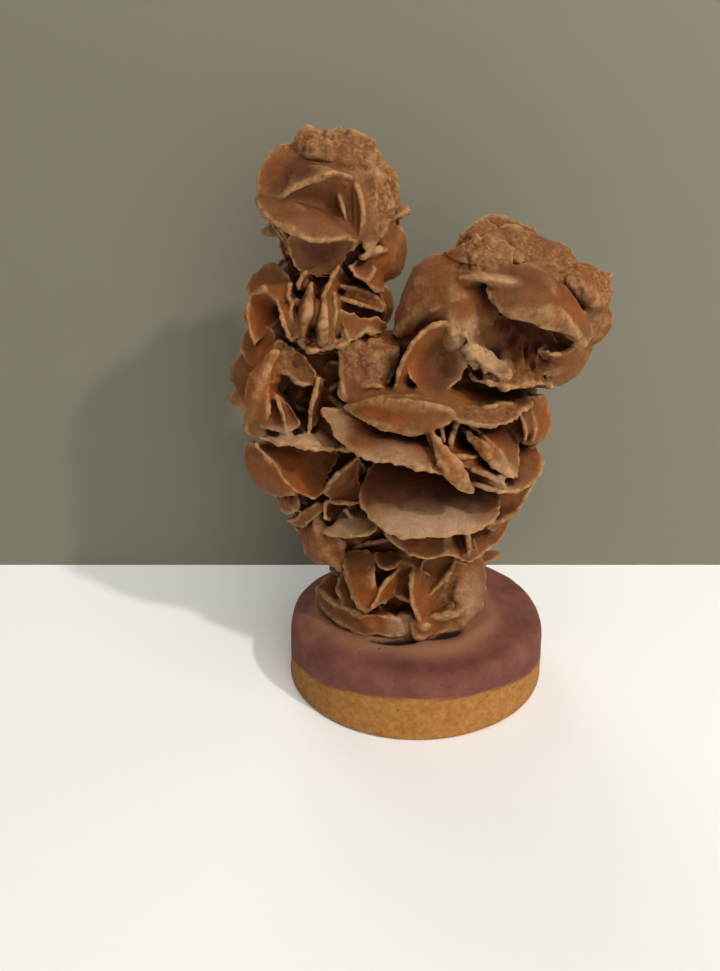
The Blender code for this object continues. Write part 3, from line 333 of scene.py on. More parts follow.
COLLAR_BLADES = [
    # pale face at the upper left, with the lit blade and the hollow under it
    Plate(3.2, (-36, -3, 104), [
        (-41.5, 0, 104.5), (-39, 1, 107.5), (-35, 0, 109), (-31, -4, 106.5), (-31.5, -7, 103),
        (-34.5, -8, 102.5), (-37, -7, 104), (-40, -4, 102.5),
    ]),
    Fin(2.6, (-34, 4, 98), [(-40.5, -4, 103), (-41.5, -5, 99), (-41, -5, 95), (-40, -6, 91)]),
    Fin(2.2, (-35, 4, 101), [(-40, -5, 103), (-37, -7, 104), (-34.5, -8, 102.5), (-33, -8, 101.5)]),
    Fin(2.4, (-30, 4, 98), [(-34.5, -9, 103), (-33, -10, 99.5), (-32, -10, 95.5), (-31, -8, 92.5)]),
    Fin(1.7, (-28, 4, 99), [(-29.5, -7, 102.5), (-31, -9, 100.5), (-30.5, -9, 96.5), (-30, -8, 93.5)]),
    Fin(1.8, (-36, 4, 97), [(-42, -1, 98.5), (-43.5, 0, 97.5), (-42, -1, 95)]),
    # short blades under the crown
    Fin(2.0, (-26, 4, 104), [(-27.5, -6, 108.5), (-29, -7, 106), (-29.5, -7, 104)]),
    Fin(1.8, (-31, 4, 103), [(-31, -6, 106), (-31.5, -8, 103), (-30.5, -8, 101)]),
    Fin(2.2, (-20, 4, 104), [(-20, -6, 110), (-22, -8, 106.5), (-23.5, -9, 103.5), (-24.5, -8, 101)]),
    # the upright spindles
    Plate(3.0, (-27.5, -10, 99.5), [
        (-26.5, -6, 106), (-29, -8, 101.5), (-29.5, -8, 97.5), (-28.5, -7, 94.5), (-26.5, -6, 96),
        (-25, -7, 99), (-25.5, -8, 102),
    ]),
    Fin(3.0, (-26, 4, 100), [(-26.5, -6, 106), (-27, -9, 101), (-28, -9, 96), (-28.5, -7, 94)]),
    Plate(2.8, (-24, -11, 97.5), [
        (-23.5, -6, 105), (-25, -8, 101), (-25.5, -9, 97), (-24.5, -8, 92.5), (-23.5, -7, 91.5),
        (-22.5, -8, 95), (-22.5, -7, 100),
    ]),
    Fin(2.8, (-23, 4, 98), [(-23.5, -6, 105), (-24.5, -9, 100), (-24.5, -9, 95), (-24, -7, 91.5)]),
    Fin(2.0, (-19, 4, 98), [(-21.5, -7, 104), (-21, -9, 99.5), (-21.5, -9, 95.5), (-22.5, -8, 91)]),
    Fin(1.4, (-17, 4, 97), [(-20, -7, 98), (-19.5, -8, 95), (-18.5, -7, 92.5)]),
    # the fan at the right
    Plate(2.2, (-15, -1, 102.5), [
        (-20, -5, 105), (-16.5, -4, 104), (-12.5, -2, 102), (-9, 0, 99), (-12, 3, 101), (-17, 3, 104),
        (-21, 1, 105),
    ]),
    Fin(2.0, (-18, 4, 101), [(-20, -7, 102.5), (-16, -6, 101), (-12.5, -3, 99.5), (-9.5, -1, 98)]),
    Plate(2.4, (-14.5, -4, 96.5), [
        (-20, -8, 100), (-15, -6, 98), (-10.5, -2, 97), (-9, -1, 93.5), (-12, -5, 94), (-15, -7, 94.5),
        (-18, -8, 93),
    ]),
    Fin(2.2, (-15, 4, 95), [(-18, -8, 93), (-15, -7, 94.5), (-12, -5, 94), (-9, -1, 93.5)]),
    Fin(2.2, (-25, 5, 94), [(-29.5, -8, 93), (-27.5, -9, 91), (-24, -9, 91), (-18, -7, 92.5)]),
]

CAGE_BLADES = [
    # the arch: a broad band down the left and a hood to the right
    Plate(4.0, (-38, -8.5, 84), [
        (-34.5, -4, 92.5), (-37.5, -8, 89), (-40.5, -9, 85.5), (-42.2, -9, 80), (-43, -8, 73),
        (-42, -7, 70), (-38, -8, 71), (-37, -5, 78), (-34.5, -4, 83), (-34, -2, 89),
    ]),
    Fin(3.6, (-33, 4, 83), [(-34.5, -5, 92.5), (-38, -8, 87.5), (-40.5, -8, 82), (-41, -7, 75)]),
    Plate(2.4, (-30, -3, 87), [
        (-35, -6, 92.5), (-31, -6, 91), (-27, -7, 87.5), (-25.5, -8, 83), (-29.5, -8, 83), (-32, -8, 85),
        (-34.5, -7, 86),
    ]),
    Fin(2.4, (-30, 5, 87), [(-34.5, -7, 86), (-32, -8, 85), (-29.5, -8, 83), (-25.5, -8, 83)]),
    Plate(3.0, (-39.5, -1, 91.5), [
        (-42.5, 0, 93.5), (-38, -3, 96), (-35, -4, 93.5), (-37.5, -6, 89.5), (-40, -6, 86), (-44, -1, 89),
    ]),
    # plates at the far left
    Plate(2.8, (-43, -1, 84), [
        (-44, 2, 88), (-46.5, 2, 84.5), (-47, 2, 81), (-45.5, 0, 80), (-43, -3, 81.5), (-39.5, -6, 84),
        (-40, -4, 87),
    ]),
    Plate(3.0, (-43, -3, 78.5), [
        (-48, 1, 76.5), (-45.5, -1, 79.5), (-43, -3, 81.5), (-40.5, -6, 82.5), (-41.5, -7, 78),
        (-43.5, -4, 76), (-46, -1, 75),
    ]),
    # thin blades in the hollow
    Plate(2.2, (-34.5, -6, 77), [
        (-38, -8, 81.5), (-34.5, -9, 80.5), (-31, -10.5, 77), (-29.5, -11, 73.5), (-34, -11.5, 72),
        (-39, -9.5, 73), (-40, -8.5, 77),
    ]),
    Fin(1.8, (-24.5, 3, 77), [(-25, -9, 85), (-26, -11, 81), (-27, -12, 77.5), (-27.5, -11, 71.5)]),
    Fin(2.0, (-34, 2, 76), [(-36, -8.5, 81.5), (-34, -10.5, 78), (-33, -11.5, 74.5), (-32.5, -12, 71.5)]),
    # shelf with the bright rim
    Plate(3.2, (-30, -4, 70), [
        (-42, -5, 70.5), (-39, -10, 70), (-35, -13, 70), (-30, -15, 70), (-25, -15, 69), (-20, -12, 68),
        (-17, -7, 66.5), (-20, 0, 71), (-28, 3, 73), (-38, 1, 72.5),
    ]),
]

WING_BLADES = [
    # round plate at the left
    Plate(3.6, (-39, -4, 60), [
        (-43, -4, 67.5), (-44.5, 0, 62), (-43.5, 2, 56.5), (-40, 1, 52), (-35, -4, 52.5),
        (-31.5, -10, 56), (-35, -11, 61.5), (-38.5, -10, 66.5),
    ]),
    Fin(2.8, (-32, 5, 62), [(-42, -5, 67), (-40, -7, 64), (-36.5, -9, 61), (-33.5, -8, 57)]),
    # bowl under the shelf
    Plate(2.4, (-28, -2, 62), [
        (-40, -9, 68.5), (-37, -11, 65), (-34, -12, 60.5), (-31, -12, 57), (-28, -12, 55.5),
        (-25, -11, 55.5), (-23, -8, 60), (-20.5, -6, 65), (-28, -5, 67),
    ]),
    # plate at the right
    Plate(2.6, (-18.5, -7, 57), [
        (-24, -10, 55.5), (-23, -11, 59), (-20, -12, 62.5), (-17, -11, 65), (-15.5, -9, 65.5),
        (-15.5, -10, 59.5), (-15.5, -11, 54), (-20, -11, 54),
    ]),
    Fin(2.4, (-15, 3, 58), [(-24, -10, 55), (-23, -11, 59), (-20, -12, 62.5), (-16, -10, 65.5)]),
    Fin(2.0, (-18, 3, 54), [(-24, -10, 53.5), (-20, -13, 54.5), (-15.5, -12, 54)]),
    Fin(1.6, (-22, 3, 51), [(-24, -11, 53.5), (-24, -11, 50), (-23, -10, 48)]),
    Fin(2.0, (-16, 1, 50), [(-19.5, -11, 52), (-17, -12, 49.5), (-15, -12, 48.5)]),
    # small round plate and the pink leaf
    Plate(2.8, (-34, -1, 50), [
        (-36, 2, 51.5), (-37, 2, 48.5), (-35.5, 0, 46), (-32.5, -5, 48), (-30.5, -8, 51.5), (-31, -6, 54),
        (-33.5, -1, 54),
    ]),
    Plate(2.4, (-29.5, -4, 47), [
        (-35, 0, 43.5), (-32.5, -4, 46.5), (-29, -7, 50.5), (-25.5, -9, 53), (-25, -9, 50.5),
        (-27.5, -7, 47), (-30, -2, 43),
    ]),
]

HIP_BLADES = [
    Plate(3.0, (-27, -3, 38.5), [
        (-27, -6, 46), (-29.5, -2, 42.5), (-31, 1, 38), (-30, 2, 33.5), (-27, 1, 31), (-25, -3, 32.5),
        (-24.5, -8, 39),
    ]),
    # orange lens
    Plate(3.2, (-24, -9, 41), [
        (-26.5, -7, 48), (-28, -7, 43), (-27.5, -7, 39), (-25, -8, 36), (-20, -9, 34), (-19.5, -9, 39),
        (-20, -9, 43),
    ]),
    Fin(2.8, (-19, 4, 42), [(-26, -7, 49), (-28, -7, 44), (-27.5, -7, 39), (-24.5, -8, 35.5)]),
    # pale pointed leaf
    Plate(2.4, (-17.5, -12, 48), [
        (-25, -12, 46.5), (-21.5, -11, 48.5), (-17.5, -8, 50), (-13, -8, 50.5), (-10.5, -11, 49),
        (-13, -15, 47.5), (-17, -17, 47.5), (-21, -15, 46.5),
    ]),
    Fin(2.0, (-10, 2, 46), [(-13.5, -12, 50), (-10.5, -13, 50.5), (-8.5, -14, 48), (-8, -14, 44.5)]),
]

BREAST_BLADES = [
    # pitted plate
    Plate(3.4, (-13.5, -9, 87), [
        (-20, -6, 91.5), (-17, -3, 93.5), (-12, -2, 94), (-7, -2, 93.5), (-6, -6, 90), (-8.5, -11, 84.5),
        (-13, -14, 81.5), (-19.5, -13, 80.5), (-20.5, -10, 85.5),
    ]),
    Fin(3.0, (-16, 2, 86), [(-18, -6, 92.5), (-19.5, -10, 88), (-19.5, -13, 83.5), (-18, -14, 80.5)]),
    Fin(1.8, (-12, 2, 84), [(-15, -14, 84), (-12.5, -15, 84.5), (-10, -14, 83.5)]),
    # thick curved blade
    Fin(4.2, (4, 2, 88), [
        (-8, -16, 81.5), (-7.5, -16, 86.5), (-5.5, -16.5, 92), (-2, -16.5, 96.5), (1.5, -16, 98.5),
        (5, -14, 98),
    ]),
    Plate(3.0, (2, -9.5, 90), [
        (-3, -14, 94), (1, -14.5, 96.5), (5, -13.5, 96), (8, -14, 91), (7, -15, 86), (3, -16, 83.5),
        (-2, -16, 84), (-5, -15.5, 88),
    ]),
    Plate(2.4, (2, -16, 82), [
        (-5, -15, 83.5), (0, -14, 84), (5, -13, 83.5), (8, -16, 81), (5, -20, 80), (-1, -20, 80.5),
    ]),
    # sandy crest
    Fin(3.6, (15, 2, 88), [(4.5, -12, 98), (7, -14, 97), (9, -17, 92), (14, -19, 88), (18, -19, 87.5)]),
    Fin(2.6, (13, 3, 95), [(6, -11, 100), (9.5, -11, 98.5), (10.5, -13, 95.5)]),
    # the shaded crust beyond it, and its ribs
    Plate(3.0, (19, -8.5, 91), [
        (8, -12, 97), (14, -9, 99), (22, -7, 98), (29, -5, 94), (31, -5, 88), (25, -10, 84),
        (16, -14, 84), (10, -15, 89),
    ]),
    Fin(2.0, (12, 3, 92), [(12.5, -11, 96.5), (12, -13.5, 92), (11.5, -15.5, 88)]),
    Fin(1.6, (15, 3, 92), [(15.5, -9.5, 96), (15, -12, 92), (15.5, -14.5, 87.5)]),
    Fin(2.2, (19, 3, 91), [(18, -9, 95.5), (18.5, -11, 91.5), (18, -13.5, 87)]),
    Fin(1.5, (21, 3, 91), [(20.5, -8.5, 94), (21.5, -10.5, 90), (21, -12.5, 86.5)]),
    Fin(2.0, (25, 3, 90), [(24, -7, 93), (25, -9, 89.5), (24.5, -10.5, 86)]),
    # upper shelf at the right
    Plate(2.8, (19, -8, 85.5), [
        (9.5, -15, 86), (13, -19, 86), (18, -20, 85.5), (23, -18, 85.5), (27.5, -13, 84), (29, -8, 82.5),
        (26, -2, 86), (17, 0, 88), (11, -6, 88),
    ]),
    # wavy shelf
    Plate(2.8, (12, -13, 80), [
        (1.5, -20, 81.5), (5, -22, 79), (9, -23.5, 78), (13.5, -23, 77.5), (18, -21, 78), (21.5, -17, 79),
        (24, -13, 80), (20, -6, 82), (10, -5, 83), (4, -12, 83),
    ]),
    Fin(1.6, (16, -2, 80), [(11, -19, 80), (15, -19, 81), (19, -17, 80.5)]),
    # shaded wall under it
    Plate(2.2, (16, -9, 72), [
        (10, -13, 76.5), (18, -13, 77), (21, -12, 73), (20, -14, 69), (15, -14, 68), (11, -12, 70),
    ]),
    # lump at the right, with its ribs
    Plate(6.0, (25.5, -7, 74), [
        (22, -12, 79.5), (27, -8, 80.5), (29, -6, 77), (30, -5, 73.5), (29, -6, 69.5), (26, -9, 68),
        (22.5, -12, 70), (21.5, -14, 75),
    ]),
    Fin(1.8, (25, 0, 74), [(21, -15, 78), (22, -16, 75), (22.5, -16, 71.5)]),
    Fin(1.8, (27, 0, 74), [(24, -13, 78), (25, -14, 74.5), (24.5, -14, 70.5)]),
    # long blade over the crack
    Plate(3.0, (-6, -19, 78.5), [
        (-19, -14, 79), (-15.5, -16, 81), (-10, -18.5, 82.5), (-3.5, -20, 83), (2, -21, 82),
        (6, -21, 79.5), (2, -21.5, 76.5), (-4, -21, 74.5), (-9, -20, 75), (-14, -18, 76.5),
    ]),
    Fin(2.6, (0, 0, 81), [(-18, -13, 79.5), (-10, -18, 82.5), (-3.5, -19, 83), (2, -20, 82)]),
    # long shelf with the pale tip
    Plate(3.2, (-9, -16, 72.5), [
        (-24, -12, 77.5), (-22, -15, 73.5), (-18, -19, 71), (-14, -22, 69.5), (-9, -24, 69.5),
        (-4, -25.5, 69), (1, -26.5, 68), (5, -25, 67.5), (6, -14, 69), (-3, -13, 70.5), (-13, -12, 72.5),
        (-20, -10, 77),
    ]),
    Fin(2.8, (0, 0, 73), [(-22, -14, 73.5), (-14, -21, 70), (-4, -24, 69), (5, -24, 67.5)]),
    # blades that cross in front
    Fin(3.6, (9, -3, 67), [
        (-1, -20, 76), (0.5, -23, 73), (3, -26, 69.5), (6, -28, 66), (9.5, -28, 63.5),
    ]),
    Plate(2.4, (4, -26, 69.5), [
        (-0.3, -21, 77), (2.7, -24, 74), (6.8, -26, 70.3), (8.9, -28, 65.3), (8.3, -28.5, 63.9),
        (4.6, -28, 65.9), (1.9, -27, 69.6), (0.6, -23.5, 73.4),
    ]),
    Fin(1.5, (5, -3, 75), [(2, -19, 80), (2.5, -21, 77), (3, -22, 73)]),
    Fin(1.4, (9, -3, 74), [(6, -19, 77), (5, -21, 73.5), (4.5, -22, 70)]),
    Fin(3.6, (20, -2, 69), [
        (8.5, -18, 76.5), (12, -21, 74.5), (15, -24, 72), (17, -25, 69), (19.5, -25, 66),
    ]),
    Plate(2.6, (13.5, -23, 71), [
        (8.3, -19, 75.2), (11.1, -21.5, 74.4), (15.3, -24, 71.2), (18.8, -26, 66.8), (17.2, -26.3, 66.6),
        (13, -25.2, 69.6), (9.3, -21.5, 72.7),
    ]),
    Plate(1.6, (8, -18, 69.5), [
        (3.5, -23, 70.5), (7, -24, 70.5), (11, -22, 70), (12, -17, 69.5), (8, -10, 69.5), (4, -14, 70),
    ]),
    Plate(2.5, (11, -20, 67), [(8.5, -22, 68), (12, -22.5, 68), (13.5, -18, 66.5), (11, -17, 65.5)]),
    Fin(3.2, (14, -4, 64), [(5.5, -23, 69), (9, -26, 68.5), (12.5, -27, 67.5), (16.5, -28, 65.5)]),
    # plate at the lower right
    Plate(3.0, (19, -15, 64.5), [
        (9, -24, 65), (14, -27, 64), (18, -27, 63.5), (22, -24, 63.5), (26, -18, 63.5), (28, -12, 65.5),
        (25, -6, 68), (18, -5, 67.5), (11, -14, 66.5),
    ]),
]

BELLY_BLADES = [
    # the big pale disc, its upper half sunk
    Plate(4.2, (2, -16, 56.5), [
        (-15.5, -14, 58.5), (-15, -17, 55.5), (-12, -21, 53), (-6, -25, 51.5), (0, -26, 52),
        (6, -26, 52.5), (11, -25, 53), (15, -22, 53.5), (18, -17, 56), (15, -7, 60), (4, -2, 64),
        (-7, -3, 64.5), (-13, -8, 62.5),
    ]),
    # plate under it
    Plate(3.0, (5, -11, 48), [
        (-9.5, -15, 49), (-8, -18, 47), (-4, -20, 44.5), (1, -20, 43), (6, -20, 44), (11, -18, 41),
        (15, -15, 42), (19, -11, 43), (21, -6, 48), (12, -4, 53), (-2, -4, 53),
    ]),
    # plates at the right
    Plate(3.0, (20, -8, 50), [
        (15, -18, 51), (19, -17, 52), (23.5, -11, 52), (26.5, -4, 53), (25, -2, 48), (22, -5, 45),
        (17, -12, 46.5),
    ]),
    Plate(3.0, (21, -6, 59), [
        (17, -16, 60), (22, -16, 60.5), (26, -10, 61), (28, -5, 62), (26, 0, 58), (22, -2, 55),
        (17, -10, 56),
    ]),
    Fin(1.8, (10, 0, 46), [(10, -19, 51), (10.5, -20, 47), (11, -18, 42.5)]),
    Fin(1.6, (13, -2, 42), [(12, -15, 46), (13, -16, 43), (14, -14, 40)]),
]

HEAD_BLADES = [
    # big smooth blade at the left
    Plate(4.6, (-0.5, -9, 101), [
        (-7, -4, 93), (-7, -3, 97.5), (-5.5, -1, 102.5), (-4, 0, 106.5), (-1, 0, 110), (3, -2, 111.5),
        (7, -8, 108), (7, -10, 103), (5, -10, 98.5), (0, -8, 95),
    ]),
    Fin(4.0, (10, 4, 101), [(-7, -4, 94), (-6, -2, 101), (-3, 0, 107.5), (3, -1, 111)]),
    # pale band above it
    Plate(3.0, (11, -5, 113), [
        (3.5, -3, 112), (7, -5, 113.5), (10, -5, 115), (14, -5, 115), (18, -5, 113.5), (18, -9, 110),
        (13.5, -10.5, 109.8), (9.5, -10, 109.8), (5.5, -7.5, 110.5),
    ]),
    # the blade's broad face, grown into the rest
    Plate(5.5, (4.5, -10.5, 101), [
        (-4, -4, 92), (-5, -6, 98), (-3, -5, 104), (0, -4, 109), (6, -6, 110), (12, -7.5, 107),
        (16, -7, 102), (14, -10, 96), (6, -12, 91),
    ]),
    # mounds along the top
    Plate(6.0, (12, 2, 114), [
        (7, 0, 114), (9, 2, 116), (12, 3, 117.5), (15, 3, 117), (16.5, 0, 115), (15, -5, 113),
        (10, -5, 113),
    ]),
    Plate(4.0, (19.5, 1, 113), [
        (16.5, 3, 116.5), (19, 4, 117.5), (22, 4, 116), (24.5, 3, 113), (23, -3, 110), (19, -5, 110.5),
        (17, -3, 113),
    ]),
    Plate(3.6, (27.5, 0, 108.5), [
        (24, 3, 113), (28, 4, 112), (31, 4, 110.5), (33, 3, 108), (30, -4, 105.5), (26, -6, 106),
        (22, -5, 109.5),
    ]),
    # drooping blade over the hollow
    Plate(4.2, (25, -15, 102), [
        (12, -14, 105.5), (16, -10, 109.5), (20.5, -9, 110), (25, -9, 108.5), (29, -8, 105.5),
        (32.5, -7, 102.5), (35.5, -7, 98.5), (37, -9, 94.5), (35, -13, 93), (31, -16, 96),
        (26, -18, 97.5), (21, -19, 99.5), (15, -18, 101),
    ]),
    # pale leaf in the recess above it
    Plate(1.8, (11.5, -11, 108), [
        (5.5, -11, 107.5), (10, -15, 108), (14, -16, 107.5), (18, -15, 107), (18, -7, 107.5),
        (11, -4, 108.5),
    ]),
    # pitted disc and the plates at the far right
    Plate(4.2, (37, -2, 103.5), [
        (31, -4, 106.5), (35, 2, 108.5), (39, 4, 108), (42.5, 5, 105.5), (44.5, 4, 102), (43, 1, 98.5),
        (38, -5, 100), (34, -6, 102.5),
    ]),
    Plate(3.2, (39, -2, 95), [
        (35, -5, 99), (40, -2, 99), (44, 1, 98), (44.5, 2, 94.5), (42, 1, 90.5), (38, -3, 91.5),
        (35, -6, 95),
    ]),
    Plate(3.6, (34, -3, 86.5), [
        (30, -7, 89.5), (36, -4, 92), (40, 0, 90), (39.5, 2, 86), (37.5, 1, 83), (33.5, -1, 81),
        (29.5, -5, 82), (27.5, -8, 85.5),
    ]),
    Fin(2.4, (30, 1, 88), [(24, -13, 92), (27, -14, 91.5), (30, -12, 91), (34, -9, 92)]),
    Fin(3.0, (30, 6, 88), [(26, -6, 87), (29, -5, 83), (33, -3, 81)]),
]

FOOT_BLADES = [
    # orange lens
    Plate(3.4, (-15.5, -13, 33), [
        (-19, -8, 38.5), (-19.5, -11, 35), (-18.5, -14, 31.5), (-16.5, -17, 28.5), (-13.5, -19, 27),
        (-11.5, -18, 31), (-11.5, -16, 34.5), (-12.5, -10, 40),
    ]),
    Fin(3.0, (-8, -3, 33), [(-19, -8, 38), (-19, -12, 33), (-17, -16, 29), (-13.5, -18, 27)]),
    Plate(1.9, (-9, -11, 38.5), [
        (-12, -11, 40), (-8, -10, 40), (-4, -10, 39), (-7, -16, 38.5), (-10.5, -16, 38.5),
    ]),
    # folds at the foot's left
    Fin(3.4, (-13, -4, 28), [
        (-20, -7, 33), (-21.5, -9, 29), (-20.5, -12, 26.5), (-18.5, -15, 24.5), (-15, -17, 24.5),
    ]),
    Fin(4.0, (-14, -2, 24), [
        (-24, -1, 28.5), (-27, -3, 25), (-26.5, -6, 23), (-24, -10, 21.5), (-19, -14, 21),
    ]),
    # the wedge and the upright ridge, with a hollow between them
    Fin(3.0, (-5, -4, 28), [
        (-3, -11, 38.5), (-7, -15, 36.5), (-10, -18, 34.5), (-11.5, -20, 32), (-13, -21, 29.5),
    ]),
    Fin(3.0, (4, -4, 30), [
        (-1, -10, 38.5), (-2.5, -15, 36), (-3, -18, 33.5), (-2.5, -20, 30.5), (-1, -20, 26.5),
        (0, -18, 21.5),
    ]),
    Plate(3.4, (-10, -15, 23.5), [
        (-15, -17, 25.5), (-9, -18, 26), (-5, -18, 24), (-5, -19, 20.5), (-12, -18, 20.5), (-16, -15, 21),
    ]),
    Plate(4.0, (-0.5, -17, 22), [
        (-3, -18, 25), (1, -19, 25), (3.5, -17, 22), (2, -18, 20), (-2, -19, 20),
    ]),
    # low swellings where it meets the mortar
    Plate(5.0, (5, -13, 23), [
        (-6, -17, 25), (2, -17.5, 26), (9, -15, 26), (16, -9, 25), (16, -8, 19.5), (7, -15, 19.5),
        (-4, -18, 19.5),
    ]),
    Plate(5.5, (-19, -9, 23.5), [
        (-27, -1, 25), (-24, -8, 26), (-19, -13, 26), (-13, -17, 25.5), (-12, -17.5, 19.8),
        (-19, -14, 19.8), (-26, -4, 19.8),
    ]),
    # shaded wall and the pale column at the right
    Plate(2.5, (4, -7, 30), [
        (0, -13, 38), (5, -11, 39.5), (9, -9, 37.5), (9, -10, 30), (8, -13, 24), (2, -16, 21.5),
        (0, -17, 28),
    ]),
    Plate(4.2, (11, -9, 30), [
        (8, -7, 39), (13, -5, 39), (16.5, -5, 35), (17.5, -6, 29), (16.5, -8, 23), (12, -13, 20.5),
        (8.5, -14, 22), (8, -12, 30),
    ]),
]

# name, middle, half sizes of the heart, and the number, size and reach of the sprays
ROSETTES = (
    Rosette("crown", (-21, 7, 118.5), (14, 11, 16), 9, 9.5, 5.0, CROWN_BLADES),
    Rosette("collar", (-24, 7, 99), (15, 10, 13), 7, 8.5, 5.0, COLLAR_BLADES),
    Rosette("cage", (-27, 9, 79), (16, 10, 14), 7, 10.0, 4.5, CAGE_BLADES),
    Rosette("wing", (-26, 8, 59), (16, 11, 14), 6, 9.5, 4.0, WING_BLADES),
    Rosette("hip", (-18, 5, 45), (16, 12, 15), 6, 9.0, 4.5, HIP_BLADES),
    Rosette("breast", (5, 1, 75), (24, 14, 18), 10, 12.0, 6.0, BREAST_BLADES),
    Rosette("belly", (8, 1, 56), (21, 14, 15), 8, 12.0, 5.0, BELLY_BLADES),
    Rosette("head", (23, 5, 98), (18, 12, 18), 10, 12.0, 5.0, HEAD_BLADES),
    Rosette("foot", (0, 1, 30), (19, 15, 16), 8, 12.0, 6.0, FOOT_BLADES),
)

# Where the crystal's colour changes: its own amber, pink and pale tints, a painted highlight among the
# pale ones, and patches of painted shade. Each patch: its middle, its half sizes, its strength.
TINTS = {
    "amber": [
        ((-40, -4, 98), (4, 6, 8), 1.0),        # the collar's lit blade
        ((-39, -7, 84), (5, 6, 10), 0.9),       # the cage's left band
        ((-34, -11, 59), (7, 6, 6), 1.0),       # the wing's bowl, lower left
        ((-42, -3, 58), (4, 7, 8), 0.8),        # the wing's left lens
        ((-26, -8, 41), (5, 6, 8), 0.9),        # the hip's lens
        ((-6, -5, 98), (6, 9, 12), 0.7),        # the head's left edge
        ((-4, -16, 91), (5, 5, 9), 0.8),        # the curved blade
        ((-12, -17, 30), (7, 7, 8), 0.8),       # the foot's lens
        ((2, -18, 28), (3, 5, 9), 0.7),         # the foot's upright ridge
        ((-8, -19, 78), (9, 4, 4), 0.8),        # the long blade's face
        ((3, -25, 72), (4, 5, 6), 0.9),         # the blades that cross before the shelves
        ((12, -22, 73), (5, 5, 5), 0.9),
        ((27, -9, 74), (5, 6, 7), 0.6),         # the lump at the right
        ((10, 2, 117), (6, 6, 4), 0.6),         # the top of the head
        ((28, -14, 103), (7, 7, 6), 0.6),       # the drooping blade's bend
        ((-8, -2, 108), (6, 8, 8), 0.5),        # the crown's lower disc
    ],
    "pink": [
        ((-27, -8, 121), (15, 10, 14), 0.8),
        ((2, -22, 54), (20, 10, 12), 0.6),
        ((18, -24, 65), (12, 8, 5), 0.6),
        ((-14, -10, 88), (9, 8, 8), 0.4),
    ],
    # painted shade: purple-brown darkening over hollows, undersides and faces in shadow
    "plum": [
        ((-29, -6, 129), (6, 6, 4), 0.8),       # the crown's sunken patch
        ((-23.5, -8, 112), (5, 5, 5), 0.8),     # the crown's dish
        ((2, -15, 62), (18, 12, 6), 1.0),       # the belly's upper half
        ((15, -14, 73), (6, 7, 5), 0.8),        # the shaded panel
        ((22, -8, 95), (10, 9, 6), 1.0),        # the head's hollow
        ((-8, -15, 74), (13, 5, 3), 0.7),       # the back of the long shelf
        ((-30, -4, 77), (9, 7, 6), 0.9),        # the cage's hollow
        ((2, -13, 88), (5, 5, 6), 0.8),         # behind the curved blade
        ((24, -12, 106), (10, 6, 5), 0.5),      # the top of the brow
        ((-14, -9, 88), (5, 5, 4), 0.4),        # the pitted plate's pocket
        ((18, -13, 82.5), (9, 7, 2.5), 0.9),    # between the shelves at the right
    ],
    "pale": [
        ((1, -25, 52), (17, 9, 6), 1.0),        # the belly disc
        ((-3, -4, 103), (6, 6, 9), 0.35),       # the head's left face
        ((-31, -12, 70.5), (9, 5, 3), 0.8),     # the cage's shelf
        ((-12, -24, 70), (13, 5, 3), 0.6),      # the long shelf
        ((-22, -15, 74), (5, 5, 5), 0.7),       # its tip
        ((9, -17, 92), (6, 5, 8), 1.0),         # the crest
        ((14, -14, 89), (6, 5, 4), 0.7),        # the lower ribs beside it
        ((12, -15, 107.5), (6, 3, 1.2), 0.8),   # the head's leaf
        # painted highlight on the pale tip of the blade that crosses in front at the right
        ((16, -26, 66), (4, 4, 4), 0.7),
        ((-18, -14, 48.5), (8, 4, 2.5), 0.7),   # the hip's pointed leaf
        ((15, -14, 28), (5, 6, 9), 0.6),        # the foot's column
        ((-6, -18, 26), (3, 5, 7), 0.5),
        ((-12, -5, 112.5), (4, 3, 2), 0.8),     # the crown's small leaf
    ],
}

# Where the skin is rough: nodules, and ribs that run up and down. Given like the colours.
NODULES = [
    ((-24, 0, 135), (9, 7, 4), 1.0),        # the top of the crown
    ((-14, -1, 131), (7, 8, 5), 1.0),
    ((-10.5, -1, 123), (5, 8, 8), 1.0),     # its right side
    ((9, -17, 92), (6, 5, 8), 1.5),         # the crest
    ((11, -8, 112), (8, 6, 4), 0.8),        # the pale band over the brow
    ((-4, -25, 69.5), (14, 4, 2), 0.6),     # the long shelf's rim
    ((-30, -13, 70), (10, 4, 2), 0.6),      # the rim of the cage's shelf
    ((10, 0, 116), (8, 8, 4), 0.7),         # the top of the head
    ((20, 0, 113), (7, 8, 4), 0.8),
    ((30, 0, 109), (7, 7, 4), 0.8),
    ((40, 0, 103), (6, 8, 5), 0.9),         # the pitted disc
    ((39, -1, 95), (6, 7, 5), 0.6),
    ((-14, -10, 90), (7, 8, 6), 0.7),       # the pitted plate
    ((14, -19, 79), (9, 6, 3), 0.7),        # the wavy shelf
    ((18, -17, 85), (10, 6, 3), 0.6),
    ((-24, -8, 68), (9, 6, 3), 0.6),        # the end of the cage's shelf
    ((-25, -7, 92.5), (9, 4, 3), 0.9),      # the band under the collar
    ((-2, -5, 101), (6, 7, 9), 0.3),        # the head's left face
    ((10, -13, 27), (6, 5, 9), 0.7),        # the foot's shaded wall
    ((-30, -8, 91), (5, 5, 5), 0.6),
]
RIBS = [
    ((18, -10, 91), (11, 7, 7), 1.2),        # the head's hollow
    ((-12, -2, 122), (6, 8, 9), 0.5),
    ((38, -3, 104), (5, 6, 4), 0.5),
    ((12, -14, 70), (6, 6, 4), 0.5),
    ((-34, -7, 88), (6, 6, 6), 0.3),
]


# ---- Noise on points.
def lattice_value(corner, seed):
    """A repeatable number from -1 to 1 for each whole-number corner of a lattice."""
    x, y, z = (corner[:, i].astype(np.int64) * CORNER_PRIMES[i] for i in range(3))
    mixed_up = x ^ y ^ z ^ (seed * SEED_PRIME)
    mixed_up = (mixed_up ^ (mixed_up >> 13)) * MIXING_PRIME
    mixed_up = mixed_up ^ (mixed_up >> 16)
    return (mixed_up & 0xFFFF) / 32767.5 - 1.0


